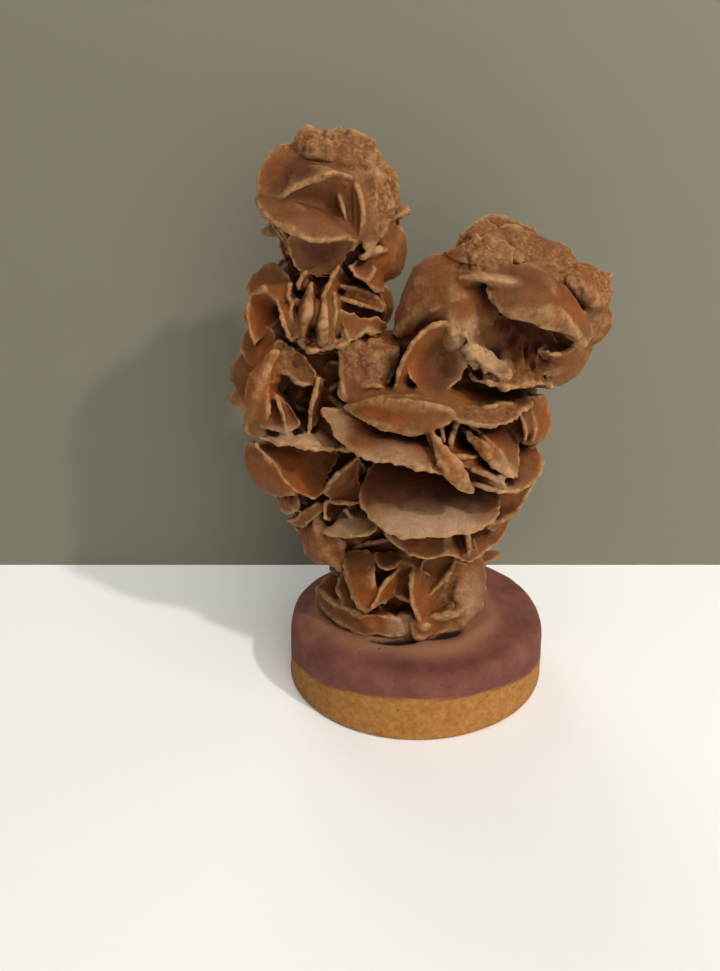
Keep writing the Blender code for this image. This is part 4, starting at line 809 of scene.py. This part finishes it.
def smooth_noise(points, size, seed):
    """Smooth noise from about -1 to 1 whose lumps are about one size across."""
    place = points / size
    low = np.floor(place)
    part = place - low
    part = part * part * (3 - 2 * part)
    total = np.zeros(len(points))
    for dx in (0, 1):
        for dy in (0, 1):
            for dz in (0, 1):
                weight = np.ones(len(points))
                for axis, step in enumerate((dx, dy, dz)):
                    weight = weight * (part[:, axis] if step else 1 - part[:, axis])
                total += weight * lattice_value(low + (dx, dy, dz), seed)
    return total


def rough_noise(points, size, seed, octaves):
    """Several sizes of smooth noise, each half the last one's size and strength."""
    total = np.zeros(len(points))
    for octave in range(octaves):
        total += smooth_noise(points, size / 2 ** octave, seed + octave) / 2 ** octave
    return total


def raised(points, relief, seed=0):
    """How far a relief stands out at each point."""
    noise = rough_noise(points, relief.width, seed + relief.seed, relief.octaves)
    return relief.rise * noise - relief.sink


def folded(points, relief, seed=0):
    """The same for a relief of round lumps with sharp creases between them."""
    noise = rough_noise(points, relief.width, seed + relief.seed, relief.octaves)
    return relief.rise * np.abs(noise) - relief.sink


def smooth_step(values, low, high):
    """0 below low, 1 above high, and an even S between them."""
    share = np.clip((values - low) / (high - low), 0.0, 1.0)
    return share * share * (3 - 2 * share)


# ---- Blades.
def unit(vectors):
    return vectors / np.maximum(np.linalg.norm(vectors, axis=-1, keepdims=True), 1e-9)


def even_way(i, count):
    """One of a count of directions that are spread evenly all round."""
    z = 1 - 2 * (i + 0.5) / count
    flat = math.sqrt(1 - z * z)
    return flat * math.cos(GOLDEN_TURN * i), flat * math.sin(GOLDEN_TURN * i), z


def outline_factor(angle, phase):
    """How far a lens's uneven outline stands in or out at an angle."""
    factor = 1.0
    for height, count, turn in OUTLINE_WAVES:
        factor = factor + height * np.sin(count * angle + turn * phase)
    return factor


def half_thickness(thick, shares):
    """Half of a blade's thickness at shares of the way from its middle to its rim."""
    lens = thick / 2 * THICKER * np.maximum(0.0, 1 - shares ** LENS_POWER) ** LENS_FULLNESS
    bead = BEAD_RISE * np.exp(-(((shares - BEAD_PLACE) / BEAD_WIDTH) ** 2))
    return np.maximum(RIM_WIDTH / 2, lens) + bead


def smooth_rim(points, closed):
    """A smooth run through the points of a rim, as a Catmull-Rom curve."""
    knots = np.array(points, float)
    count = len(knots)
    spans = np.arange(count if closed else count - 1)

    def knot(i):
        return knots[i % count] if closed else knots[np.clip(i, 0, count - 1)]

    before, start, end, after = (knot(spans + k)[:, None] for k in (-1, 0, 1, 2))
    t = (np.arange(RIM_STEPS) / RIM_STEPS)[None, :, None]
    run = 0.5 * (
        2 * start
        + (end - before) * t
        + (2 * before - 5 * start + 4 * end - after) * t ** 2
        + (3 * start - before - 3 * end + after) * t ** 3
    )
    run = run.reshape(-1, 3)
    return run if closed else np.vstack((run, knots[-1:]))


def wavering(run, middle):
    """A rim whose points stand unevenly far from a middle."""
    return middle + (run - middle) * (1 + raised(run, RIM_WAVER))[:, None]


def two_sided(flat, offset, closed):
    """Points and quads of a blade from the rows of its middle sheet and their half-thickness vectors."""
    rows, count = flat.shape[:2]
    points = np.concatenate(((flat + offset).reshape(-1, 3), (flat - offset).reshape(-1, 3)))
    back = rows * count
    rim = (rows - 1) * count
    faces = []
    for i in range(count if closed else count - 1):
        j = (i + 1) % count
        for row in range(rows - 1):
            a, b = row * count, (row + 1) * count
            faces.append((a + i, b + i, b + j, a + j))
            faces.append((back + a + i, back + a + j, back + b + j, back + b + i))
        faces.append((rim + i, back + rim + i, back + rim + j, rim + j))
    if not closed:
        last = count - 1
        faces += [(i, i + 1, back + i + 1, back + i) for i in range(last)]
        for row in range(rows - 1):
            a, b = row * count, (row + 1) * count
            faces.append((a, back + a, back + b, b))
            faces.append((a + last, b + last, back + b + last, back + a + last))
    return points, faces


def lens_mesh(lens, phase):
    """A round blade: an uneven ellipse, thick in the middle."""
    place, normal, along = (np.array(v) for v in (lens.place, lens.normal, lens.along))
    across = np.cross(normal, along)
    shares = np.array(BLADE_SHARES)
    angle = 2 * np.pi * np.arange(BLADE_SIDES) / BLADE_SIDES
    ring = (
        (lens.wide * outline_factor(angle, phase) * np.cos(angle))[:, None] * along
        + (lens.tall * outline_factor(angle, phase) * np.sin(angle))[:, None] * across
    )
    flat = place + shares[:, None, None] * ring[None]
    half = half_thickness(lens.thick, shares)
    return two_sided(flat, np.broadcast_to(half[:, None, None] * normal, flat.shape), closed=True)


def plate_mesh(plate):
    """A blade seen face on: its rim, and a face that sinks or bulges smoothly to its middle."""
    run = smooth_rim(plate.rim, closed=True)
    centre = run.mean(axis=0)
    run = wavering(run, centre)
    depth = np.array(plate.middle) - centre
    normal = unit(np.cross(np.roll(run, -1, axis=0) - centre, run - centre).sum(axis=0))
    shares = np.array(BLADE_SHARES)[:, None, None]
    flat = centre + (run - centre) * shares + depth * (1 - shares * shares)
    half = half_thickness(plate.thick, shares)
    return two_sided(flat, np.broadcast_to(half * normal, flat.shape), closed=True)


def fin_mesh(fin):
    """A blade seen edge on: a fan from its root to its free edge."""
    root = np.array(fin.root, float)
    run = wavering(smooth_rim(fin.rim, closed=False), root)
    before = run[np.maximum(np.arange(len(run)) - 1, 0)]
    after = run[np.minimum(np.arange(len(run)) + 1, len(run) - 1)]
    normals = unit(np.cross(run - root, after - before))
    shares = np.array(BLADE_SHARES)[:, None, None]
    flat = root + (run - root) * shares
    half = half_thickness(fin.thick * (1 + FIN_FLARE * (1 - shares)), shares)
    return two_sided(flat, half * normals, closed=False)


def spray_lenses(rosette, rng):
    """Lenses spread evenly over the sides and back of a rosette, edge outwards, turned at random."""
    found = []
    spread = 2 * rosette.sprays
    for i in range(spread):
        out = Vector(even_way(i, spread))
        size = rosette.spray_size * rng.uniform(*SPRAY_SIZES)
        spin = rng.uniform(0, math.pi)
        lift = rng.uniform(-SPRAY_LIFT, SPRAY_LIFT)
        thick = size * rng.uniform(*SPRAY_THICKNESS)
        tall = size * rng.uniform(*SPRAY_SQUATNESS)
        if out.y < SPRAY_FRONT_LIMIT:
            continue
        side = out.orthogonal().normalized()
        normal = (side * math.cos(spin) + out.cross(side) * math.sin(spin) + out * lift).normalized()
        along = normal.orthogonal().normalized()
        reach = [o * (h + rosette.spray_reach) * SPRAY_DEPTH for o, h in zip(out, rosette.heart)]
        place = Vector(rosette.middle) + Vector(reach)
        found.append(Lens(place, normal, along, size, tall, thick))
    return found


def sprig_lenses(rosette, rng):
    """Small lenses that stand half buried all over a rosette's heart, edge outwards."""
    found = []
    spread = SPRIGS_PER_SPRAY * rosette.sprays
    for i in range(spread):
        out = np.array(even_way(i, spread))
        size = rosette.spray_size * rng.uniform(*SPRIG_SIZES)
        spin = rng.uniform(0, math.pi)
        wide = size * rng.uniform(*SPRIG_SQUATNESS)
        if out[1] < 0 and rosette.name in SPRIG_FREE:
            continue
        side = unit(np.cross(out, SPRIG_ASIDE))
        normal = side * math.cos(spin) + np.cross(out, side) * math.sin(spin)
        place = np.array(rosette.middle) + out * np.array(rosette.heart) * SPRIG_DEPTH
        found.append(Lens(place, normal, out, wide, size, SPRIG_THICKNESS))
    return found


def heart_mesh(rosette):
    """A lump where a rosette's blades have grown together."""
    shape = bmesh.new()
    bmesh.ops.create_icosphere(shape, subdivisions=HEART_SPLITS, radius=1.0)
    ball = np.array([v.co for v in shape.verts])
    faces = [tuple(v.index for v in f.verts) for f in shape.faces]
    shape.free()
    return ball * np.array(rosette.heart) * HEART_FILL + np.array(rosette.middle), faces


# ---- Meshes and the numbers on their points.
def mesh_object(name, points, faces):
    mesh = bpy.data.meshes.new(name)
    mesh.from_pydata((np.asarray(points) * MM).tolist(), [], faces)
    thing = bpy.data.objects.new(name, mesh)
    bpy.context.scene.collection.objects.link(thing)
    return thing


def apply_modifiers(thing):
    """Replaces an object's mesh with what its modifiers make of it."""
    seen = thing.evaluated_get(bpy.context.evaluated_depsgraph_get())
    made = bpy.data.meshes.new_from_object(seen)
    thing.modifiers.clear()
    thing.data = made


def vectors_of(thing, what):
    flat = np.empty(3 * len(thing.data.vertices), np.float32)
    thing.data.vertices.foreach_get(what, flat)
    return flat.reshape(-1, 3).astype(float)


def points_of(thing):
    return vectors_of(thing, "co") / MM


def normals_of(thing):
    return vectors_of(thing, "normal")


def edges_of(thing):
    flat = np.empty(2 * len(thing.data.edges), np.int32)
    thing.data.edges.foreach_get("vertices", flat)
    return flat.reshape(-1, 2)


def place_points(thing, points):
    thing.data.vertices.foreach_set("co", (points * MM).astype(np.float32).ravel())
    thing.data.update()


def shade_smooth(thing):
    thing.data.polygons.foreach_set("use_smooth", [True] * len(thing.data.polygons))


def set_attribute(thing, name, values):
    """A number on every point of a mesh, for its finish to read."""
    layer = thing.data.attributes.new(name, "FLOAT", "POINT")
    layer.data.foreach_set("value", values.astype(np.float32))


# ---- The crystal's skins.
def averaged(points, edges, rounds):
    """Points after each has moved rounds times to the middle of its neighbours."""
    count = np.bincount(edges.ravel(), minlength=len(points))[:, None]
    for _ in range(rounds):
        total = np.stack(
            [
                np.bincount(edges[:, 0], points[edges[:, 1], axis], len(points))
                + np.bincount(edges[:, 1], points[edges[:, 0], axis], len(points))
                for axis in range(3)
            ],
            axis=1,
        )
        points = total / np.maximum(count, 1)
    return points


def sharpness_of(points, normals, edges):
    """How far each point stands out of the smoothed skin: above 0 on rims, below 0 in creases."""
    return ((points - averaged(points, edges, RIM_ROUNDS)) * normals).sum(axis=1)


def rosette_meshes(rosette, rng, sprig_rng):
    """Points and faces of everything in a rosette."""
    yield heart_mesh(rosette)
    for blade in rosette.blades:
        yield plate_mesh(blade) if isinstance(blade, Plate) else fin_mesh(blade)
    for lenses in (spray_lenses(rosette, rng), sprig_lenses(rosette, sprig_rng)):
        for phase, lens in enumerate(lenses):
            yield lens_mesh(lens, phase)


def grow_rosette(rosette, rng, sprig_rng):
    """One closed skin over a rosette's heart and blades."""
    points, faces = [], []
    count = 0
    for more_points, more_faces in rosette_meshes(rosette, rng, sprig_rng):
        faces += [tuple(count + k for k in face) for face in more_faces]
        points.append(more_points)
        count += len(more_points)
    thing = mesh_object(f"{rosette.name}_rosette", np.concatenate(points), faces)
    grow = thing.modifiers.new("grow_together", "REMESH")
    grow.mode = "VOXEL"
    grow.voxel_size = SKIN_GRAIN * MM
    soften = thing.modifiers.new("soften_creases", "SMOOTH")
    soften.factor, soften.iterations = SOFTENING
    apply_modifiers(thing)
    return thing


def patch_mask(points, patches):
    """How strongly soft-edged patches cover each point."""
    mask = np.zeros(len(points))
    waver = raised(points, PATCH_WAVER)
    for middle, half, strength in patches:
        away = np.linalg.norm((points - np.array(middle)) / np.array(half), axis=1)
        mask = np.maximum(mask, strength * smooth_step(PATCH_REACH - away + waver, 0.0, PATCH_BLUR))
    return mask


def fill_creases(thing):
    """Rounds the creases where blades meet, and leaves the rims alone."""
    points, normals, edges = points_of(thing), normals_of(thing), edges_of(thing)
    crease = smooth_step(-sharpness_of(points, normals, edges), *CREASE_RANGE)[:, None]
    place_points(thing, points + crease * (averaged(points, edges, CREASE_ROUNDS) - points))


def sand_over(thing, seed):
    """Moves the skin along its normals: broad lumps, sand, knobs along the rims, nodules and ribs."""
    points, normals = points_of(thing), normals_of(thing)
    rim = smooth_step(sharpness_of(points, normals, edges_of(thing)), *RIM_RANGE)
    moved = raised(points, SKIN_LUMPS, seed)
    moved += raised(points, SKIN_SAND, seed)
    moved += rim * sum(raised(points, relief, seed) for relief in RIM_KNOBS)
    nodules = patch_mask(points, NODULES)
    for relief in NODULE_RELIEF:
        moved += nodules * folded(points, relief, seed)
    moved -= patch_mask(points, RIBS) * folded(points * RIB_STRETCH, RIB_RELIEF, seed)
    place_points(thing, points + normals * moved[:, None])
    set_attribute(thing, "rim", np.maximum(rim, NODULE_CREAM * nodules * smooth_step(moved, *NODULE_TOPS)))
    set_attribute(thing, "sugar", np.maximum(RIM_SUGAR * rim, nodules))


def thin_out(thing):
    """Joins the flattest faces of a mesh that has too many; a remeshed skin is all four-sided ones."""
    triangles = 2 * len(thing.data.polygons)
    if triangles > MOST_TRIANGLES:
        thin = thing.modifiers.new("thin_out", "DECIMATE")
        thin.ratio = MOST_TRIANGLES / triangles
        apply_modifiers(thing)


# ---- How open to the sky each place on the crystal is.
def cells_of(points):
    cell = np.floor((points - GRID_LOW) / CELL).astype(int)
    return np.clip(cell, 0, np.array(GRID_CELLS) - 1)


def solid_cells(skins):
    """A grid of cells that is true on and inside the skins."""
    walls = np.zeros(GRID_CELLS, bool)
    for points in skins:
        x, y, z = cells_of(points).T
        walls[x, y, z] = True
    outside = np.ones(GRID_CELLS, bool)
    outside[1:-1, 1:-1, 1:-1] = False
    while True:
        grown = outside.copy()
        for axis in range(3):
            grown |= np.roll(outside, 1, axis) | np.roll(outside, -1, axis)
        grown &= ~walls
        if (grown == outside).all():
            return ~outside
        outside = grown


def openness_of(points, normals, solid):
    """The share of the directions in front of each point that meet nothing near."""
    start = points + normals * SKY_START * CELL
    seen = np.zeros(len(points))
    total = np.zeros(len(points))
    for i in range(SKY_WAYS):
        way = np.array(even_way(i, SKY_WAYS))
        facing = np.maximum(normals @ way, 0.0)
        clear = np.ones(len(points))
        for step in range(1, SKY_REACH, SKY_STRIDE):
            x, y, z = cells_of(start + way * step * CELL).T
            clear = np.where(solid[x, y, z], np.minimum(clear, step / SKY_REACH), clear)
        seen += facing * clear
        total += facing
    return seen / np.maximum(total, 1e-6)


def build_crystal(finish):
    rng = np.random.default_rng(SPRAY_SEED)
    sprig_rng = np.random.default_rng(SPRIG_SEED)
    made = [grow_rosette(rosette, rng, sprig_rng) for rosette in ROSETTES]
    solid = solid_cells([points_of(thing) for thing in made])
    for i, thing in enumerate(made):
        fill_creases(thing)
        sand_over(thing, SKIN_SEED_STEP * i)
        shade_smooth(thing)
        thin_out(thing)
        set_attribute(thing, "open", openness_of(points_of(thing), normals_of(thing), solid))
        for name, patches in TINTS.items():
            set_attribute(thing, name, patch_mask(points_of(thing), patches))
        thing.data.materials.clear()
        thing.data.materials.append(finish)
        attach(thing, "root")
        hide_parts("sand_rose")


# ---- The cast base.
def base_profile():
    """Radius and height pairs from beside the middle of the underside to beside that of the mound."""
    foot = BASE_RADIUS + BASE_FLARE
    corners = [(0.0, 0.0), (foot - BASE_FOOT_BEVEL, 0.0), (foot, BASE_FOOT_BEVEL)]
    for i in range(ROUNDING_STEPS + 1):
        angle = math.pi / 2 * i / ROUNDING_STEPS
        corners.append((
            BASE_RADIUS - BASE_ROUNDING * (1 - math.cos(angle)),
            BASE_HEIGHT - BASE_ROUNDING * (1 - math.sin(angle)),
        ))
    for i in range(MOUND_STEPS + 1):
        share = i / MOUND_STEPS
        rise = MOUND_HEIGHT * (0.5 - 0.5 * math.cos(math.pi * share))
        corners.append((MOUND_RADIUS + (MOUND_TOP_RADIUS - MOUND_RADIUS) * share, BASE_HEIGHT + rise))
    corners.append((0.0, BASE_HEIGHT + MOUND_HEIGHT))
    profile = [corners[0]]
    for start, end in zip(corners, corners[1:]):
        steps = max(1, math.ceil(math.dist(start, end) / BASE_STEP))
        for i in range(1, steps + 1):
            share = i / steps
            profile.append(tuple(a + (b - a) * share for a, b in zip(start, end)))
    return np.array(profile[1:-1])


def base_mesh():
    """Points and faces of the base before any relief."""
    profile = base_profile()
    angle = 2 * np.pi * np.arange(BASE_SIDES) / BASE_SIDES
    oval = 1 + BASE_OVAL[0] * np.cos(2 * angle) + BASE_OVAL[1] * np.sin(2 * angle)
    across = profile[:, :1] * oval
    heights = np.broadcast_to(profile[:, 1:], across.shape)
    points = np.stack((across * np.cos(angle), across * np.sin(angle), heights), 2).reshape(-1, 3)
    last = len(points) - BASE_SIDES
    faces = [tuple(range(BASE_SIDES - 1, -1, -1)), tuple(range(last, last + BASE_SIDES))]
    for ring in range(len(profile) - 1):
        a, b = ring * BASE_SIDES, (ring + 1) * BASE_SIDES
        for i in range(BASE_SIDES):
            j = (i + 1) % BASE_SIDES
            faces.append((a + i, a + j, b + j, b + i))
    return points, faces


def foot_shares(points):
    """How much of the lip, of the bed inside it and of the crack is at each point of the top."""
    x, y, z = points.T
    away = np.hypot((x - LIP_MIDDLE[0]) / LIP_HALF[0], (y - LIP_MIDDLE[1]) / LIP_HALF[1])
    away = away + raised(points, LIP_WAVER)
    on_top = smooth_step(z, BASE_HEIGHT - TOP_INSET, BASE_HEIGHT)
    lip = on_top * np.exp(-(((away - 1.0) / LIP_WIDTH) ** 2))
    bed = on_top * smooth_step(1.0 - away, -BED_BLUR, BED_BLUR)
    crack = np.zeros(len(points))
    for start, end in zip(CRACK, CRACK[1:]):
        for share in np.arange(CRACK_STEPS) / CRACK_STEPS:
            crack_x, crack_y, half = (a + (b - a) * share for a, b in zip(start, end))
            crack = np.maximum(crack, np.exp(-((np.hypot(x - crack_x, y - crack_y) / half) ** 2)))
    return lip, bed, on_top * crack


def pit_depths(points):
    """How deep the pits in the side are at each point."""
    x, y, z = points.T
    total = np.zeros(len(points))
    for pit_x, pit_z, radius, depth in PITS:
        away = np.hypot(x - pit_x, z - pit_z) / radius
        total += np.where(y < 0, depth * np.exp(-(away ** 2)), 0.0)
    return total


def build_base(finish):
    points, faces = base_mesh()
    thing = mesh_object("cast_base", points, faces)
    normals = normals_of(thing)
    x, y, z = points.T
    side = smooth_step(np.hypot(x, y), *(BASE_RADIUS - inset for inset in SIDE_INSET))
    moved = raised(points, BASE_LUMPS)
    moved += raised(points, BASE_SAND)
    moved += side * raised(points * RING_STRETCH, BASE_RINGS)
    lip, bed, crack = foot_shares(points)
    moved += LIP_RISE * lip + BED_RISE * bed - CRACK_DEPTH * crack
    moved -= pit_depths(points)
    moved *= smooth_step(z, *FLAT_UNDERSIDE)
    place_points(thing, points + normals * moved[:, None])
    front = np.clip(-y / BASE_RADIUS, 0.0, 1.0)
    edge = STAIN_LOW + STAIN_FRONT_RISE * front + raised(points, STAIN_WAVER)
    set_attribute(thing, "stain", smooth_step(z - edge, -STAIN_BLUR, STAIN_BLUR))
    set_attribute(thing, "lip", np.maximum(lip, BED_TINT * bed))
    set_attribute(thing, "crack", smooth_step(crack, *CRACK_DARKENS))
    shade_smooth(thing)
    thing.data.materials.append(finish)
    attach(thing, "root")
    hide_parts("base")


# ---- Finishes.
def node(tree, kind, **settings):
    made = tree.nodes.new(kind)
    for name, value in settings.items():
        setattr(made, name, value)
    return made


def build_grain_group():
    """Grain over an object's own space, for both finishes. Its inputs are those of a Grain."""
    group = bpy.data.node_groups.new(GRAIN_GROUP, "ShaderNodeTree")
    for name in ("Width", "Detail", "Roughness", "Shift"):
        group.interface.new_socket(name, in_out="INPUT", socket_type="NodeSocketFloat")
    group.interface.new_socket("Value", in_out="OUTPUT", socket_type="NodeSocketFloat")
    given = node(group, "NodeGroupInput")
    place = node(group, "ShaderNodeTexCoord")
    shifted = node(group, "ShaderNodeVectorMath", operation="ADD")
    scale = node(group, "ShaderNodeMath", operation="DIVIDE")
    scale.inputs[0].default_value = 1.0 / MM
    made = node(group, "ShaderNodeTexNoise")
    result = node(group, "NodeGroupOutput")
    for start, end in (
        (place.outputs["Object"], shifted.inputs[0]),
        (given.outputs["Shift"], shifted.inputs[1]),
        (given.outputs["Width"], scale.inputs[1]),
        (shifted.outputs[0], made.inputs["Vector"]),
        (scale.outputs[0], made.inputs["Scale"]),
        (given.outputs["Detail"], made.inputs["Detail"]),
        (given.outputs["Roughness"], made.inputs["Roughness"]),
        (made.outputs["Fac"], result.inputs["Value"]),
    ):
        group.links.new(start, end)


def grained(tree, grain):
    """A grain's value over the surface, from the group that both finishes share."""
    made = node(tree, "ShaderNodeGroup", node_tree=bpy.data.node_groups[GRAIN_GROUP])
    for socket, value in zip(made.inputs, grain):
        socket.default_value = value
    return made.outputs["Value"]


def ramp(tree, stops, value):
    """A colour ramp with (place, colour) stops, fed by a value."""
    made = node(tree, "ShaderNodeValToRGB")
    elements = made.color_ramp.elements
    while len(elements) < len(stops):
        elements.new(0.5)
    for element, (place, colour) in zip(elements, stops):
        element.position = place
        element.color = (*colour, 1.0)
    tree.links.new(value, made.inputs[0])
    return made.outputs["Color"]


def mixed(tree, kind, share, first, second):
    """Two colours blended; the share is a number or a socket, and so is each colour."""
    made = node(tree, "ShaderNodeMix", data_type="RGBA", blend_type=kind)
    for socket, value in zip((made.inputs[0], made.inputs[6], made.inputs[7]), (share, first, second)):
        if isinstance(value, bpy.types.NodeSocket):
            tree.links.new(value, socket)
        elif isinstance(value, tuple):
            socket.default_value = (*value, 1.0)
        else:
            socket.default_value = value
    return made.outputs[2]


def attribute(tree, name):
    return node(tree, "ShaderNodeAttribute", attribute_name=name).outputs["Fac"]


def in_range(tree, value, span):
    made = node(tree, "ShaderNodeMapRange", interpolation_type="SMOOTHSTEP")
    for socket, number in zip(made.inputs[1:5], span):
        socket.default_value = number
    tree.links.new(value, made.inputs[0])
    return made.outputs[0]


def combined(tree, operation, first, second):
    made = node(tree, "ShaderNodeMath", operation=operation)
    tree.links.new(first, made.inputs[0])
    tree.links.new(second, made.inputs[1])
    return made.outputs[0]


def new_finish(name, settings):
    """A material with its Principled shader's plain values set."""
    made = bpy.data.materials.new(name)
    made.use_nodes = True
    shader = made.node_tree.nodes["Principled BSDF"]
    for socket, value in settings.items():
        shader.inputs[socket].default_value = value
    return made, made.node_tree, shader


def bumps(tree, shader, layers):
    """Feeds the shader's Normal from layers of a grain, a depth and a strength."""
    under = None
    for grain, depth, strength in layers:
        made = node(tree, "ShaderNodeBump")
        made.inputs["Distance"].default_value = depth * MM
        made.inputs["Strength"].default_value = strength
        tree.links.new(grained(tree, grain), made.inputs["Height"])
        if under is not None:
            tree.links.new(under, made.inputs["Normal"])
        under = made.outputs["Normal"]
    tree.links.new(under, shader.inputs["Normal"])


def gypsum_finish():
    made, tree, shader = new_finish("gypsum", GYPSUM_SHADER)
    open_sky = attribute(tree, "open")
    # painted shade: the colour darkens the less open to the sky a place is
    colour = ramp(tree, GYPSUM_PAINTED_SHADE_BY_OPENNESS, open_sky)
    warm = in_range(tree, grained(tree, WARM_GRAIN), WARM_RANGE)
    colour = mixed(tree, "MULTIPLY", warm, colour, AMBER_GLOW)
    # the amber and pink tints, and the painted shade
    for name, tint in TINT_OF_PATCH:
        colour = mixed(tree, "MULTIPLY", attribute(tree, name), colour, tint)
    pale = combined(tree, "MULTIPLY", attribute(tree, "pale"), in_range(tree, open_sky, PALE_IN_THE_OPEN))
    # pale sandy places, and one painted highlight
    colour = mixed(tree, "MIX", pale, colour, PALE_SAND_AND_HIGHLIGHT)
    # the rims lose their pale colour under the painted shade
    out_of_painted_shade = in_range(tree, attribute(tree, "plum"), RIM_UNDER_PAINTED_SHADE)
    rim = combined(tree, "MULTIPLY", attribute(tree, "rim"), out_of_painted_shade)
    rim = combined(tree, "MULTIPLY", rim, in_range(tree, grained(tree, RIM_GRAIN), RIM_GRAIN_RANGE))
    colour = mixed(tree, "MIX", rim, colour, RIM_CREAM)
    grains = in_range(tree, grained(tree, SUGAR_GRAIN), SUGAR_RANGE)
    grains = combined(tree, "MULTIPLY", attribute(tree, "sugar"), grains)
    grains = combined(tree, "MULTIPLY", grains, in_range(tree, open_sky, SUGAR_IN_THE_OPEN))
    colour = mixed(tree, "MIX", grains, colour, SUGAR)
    blotches = in_range(tree, grained(tree, BLOTCH_GRAIN), BLOTCH_RANGE)
    fine = in_range(tree, grained(tree, FINE_GRAIN), FINE_RANGE)
    tint = node(tree, "ShaderNodeCombineColor")
    for socket in tint.inputs[:3]:
        tree.links.new(combined(tree, "MULTIPLY", blotches, fine), socket)
    colour = mixed(tree, "MULTIPLY", 1.0, colour, tint.outputs[0])
    tree.links.new(colour, shader.inputs["Base Color"])
    bumps(tree, shader, GYPSUM_BUMPS)
    return made


def mortar_finish():
    made, tree, shader = new_finish("mortar", MORTAR_SHADER)
    stained = ramp(tree, STAINED_MORTAR, grained(tree, STAINED_GRAIN))
    ochre = ramp(tree, OCHRE_MORTAR, grained(tree, OCHRE_GRAIN))
    colour = mixed(tree, "MIX", attribute(tree, "stain"), ochre, stained)
    colour = mixed(tree, "MIX", attribute(tree, "lip"), colour, LIP_BROWN)
    # painted shade in the crack
    colour = mixed(tree, "MIX", attribute(tree, "crack"), colour, CRACK_PAINTED_SHADE)
    specks = in_range(tree, grained(tree, SPECK_GRAIN), SPECK_RANGE)
    colour = mixed(tree, "MIX", specks, colour, SPECK_BROWN)
    tree.links.new(colour, shader.inputs["Base Color"])
    bumps(tree, shader, MORTAR_BUMPS)
    return made


# ---- The camera, the floor, the wall and the lamps.
def build_camera():
    data = bpy.data.cameras.new("camera")
    data.sensor_fit = "VERTICAL"
    data.sensor_height = SENSOR
    data.lens = FOCAL_PIXELS / FRAME_HEIGHT_PIXELS * SENSOR
    data.clip_start = NEAREST_SEEN * MM
    camera = bpy.data.objects.new("camera", data)
    bpy.context.scene.collection.objects.link(camera)
    camera.location = CAMERA_PLACE * MM
    camera.rotation_euler = (math.radians(90 - CAMERA_PITCH), 0, 0)
    bpy.context.scene.camera = camera


def area_light(name, place, target, size, energy, colour):
    data = bpy.data.lights.new(name, "AREA")
    data.shape = "DISK"
    data.size = size
    data.energy = energy
    data.color = colour
    lamp = bpy.data.objects.new(name, data)
    bpy.context.scene.collection.objects.link(lamp)
    lamp.location = place
    aim = Vector(target) - Vector(place)
    lamp.rotation_euler = aim.to_track_quat("-Z", "Y").to_euler()


def sheet_finish(name, colour, lets_light_by):
    """A plain colour that is clear from behind, and to shadow rays if it lets light by."""
    made, tree, shader = new_finish(name, {"Base Color": (*colour, 1), "Roughness": SHEET_ROUGHNESS})
    see_through = node(tree, "ShaderNodeNewGeometry").outputs["Backfacing"]
    if lets_light_by:
        rays = node(tree, "ShaderNodeLightPath")
        see_through = combined(tree, "MAXIMUM", see_through, rays.outputs["Is Shadow Ray"])
    clear = node(tree, "ShaderNodeBsdfTransparent")
    either = node(tree, "ShaderNodeMixShader")
    tree.links.new(see_through, either.inputs[0])
    tree.links.new(shader.outputs[0], either.inputs[1])
    tree.links.new(clear.outputs[0], either.inputs[2])
    tree.links.new(either.outputs[0], tree.nodes["Material Output"].inputs["Surface"])
    return made


def stage_sheet(name, corners, colour, lets_light_by=False):
    sheet = mesh_object(name, corners, [(0, 1, 2, 3)])
    sheet.data.materials.append(sheet_finish(f"{name}_finish", colour, lets_light_by))


def build_stage():
    left, right, top = -STAGE_REACH, STAGE_REACH, STAGE_REACH
    stage_sheet(
        "floor",
        [(left, FLOOR_FRONT, 0), (right, FLOOR_FRONT, 0), (right, STAGE_REACH, 0), (left, STAGE_REACH, 0)],
        FLOOR_COLOUR,
    )
    stage_sheet(
        "wall",
        [(left, WALL_Y, 0), (right, WALL_Y, 0), (right, WALL_Y, top), (left, WALL_Y, top)],
        WALL_COLOUR,
        lets_light_by=True,
    )
    for lamp in LAMPS:
        area_light(*lamp)
    world = bpy.data.worlds.new("world")
    bpy.context.scene.world = world
    world.use_nodes = True
    background = world.node_tree.nodes["Background"]
    background.inputs["Color"].default_value = (*WORLD_COLOUR, 1)
    background.inputs["Strength"].default_value = WORLD_STRENGTH
    bpy.context.scene.view_settings.view_transform = "Standard"


build_grain_group()
build_crystal(gypsum_finish())
build_base(mortar_finish())
build_stage()
build_camera()
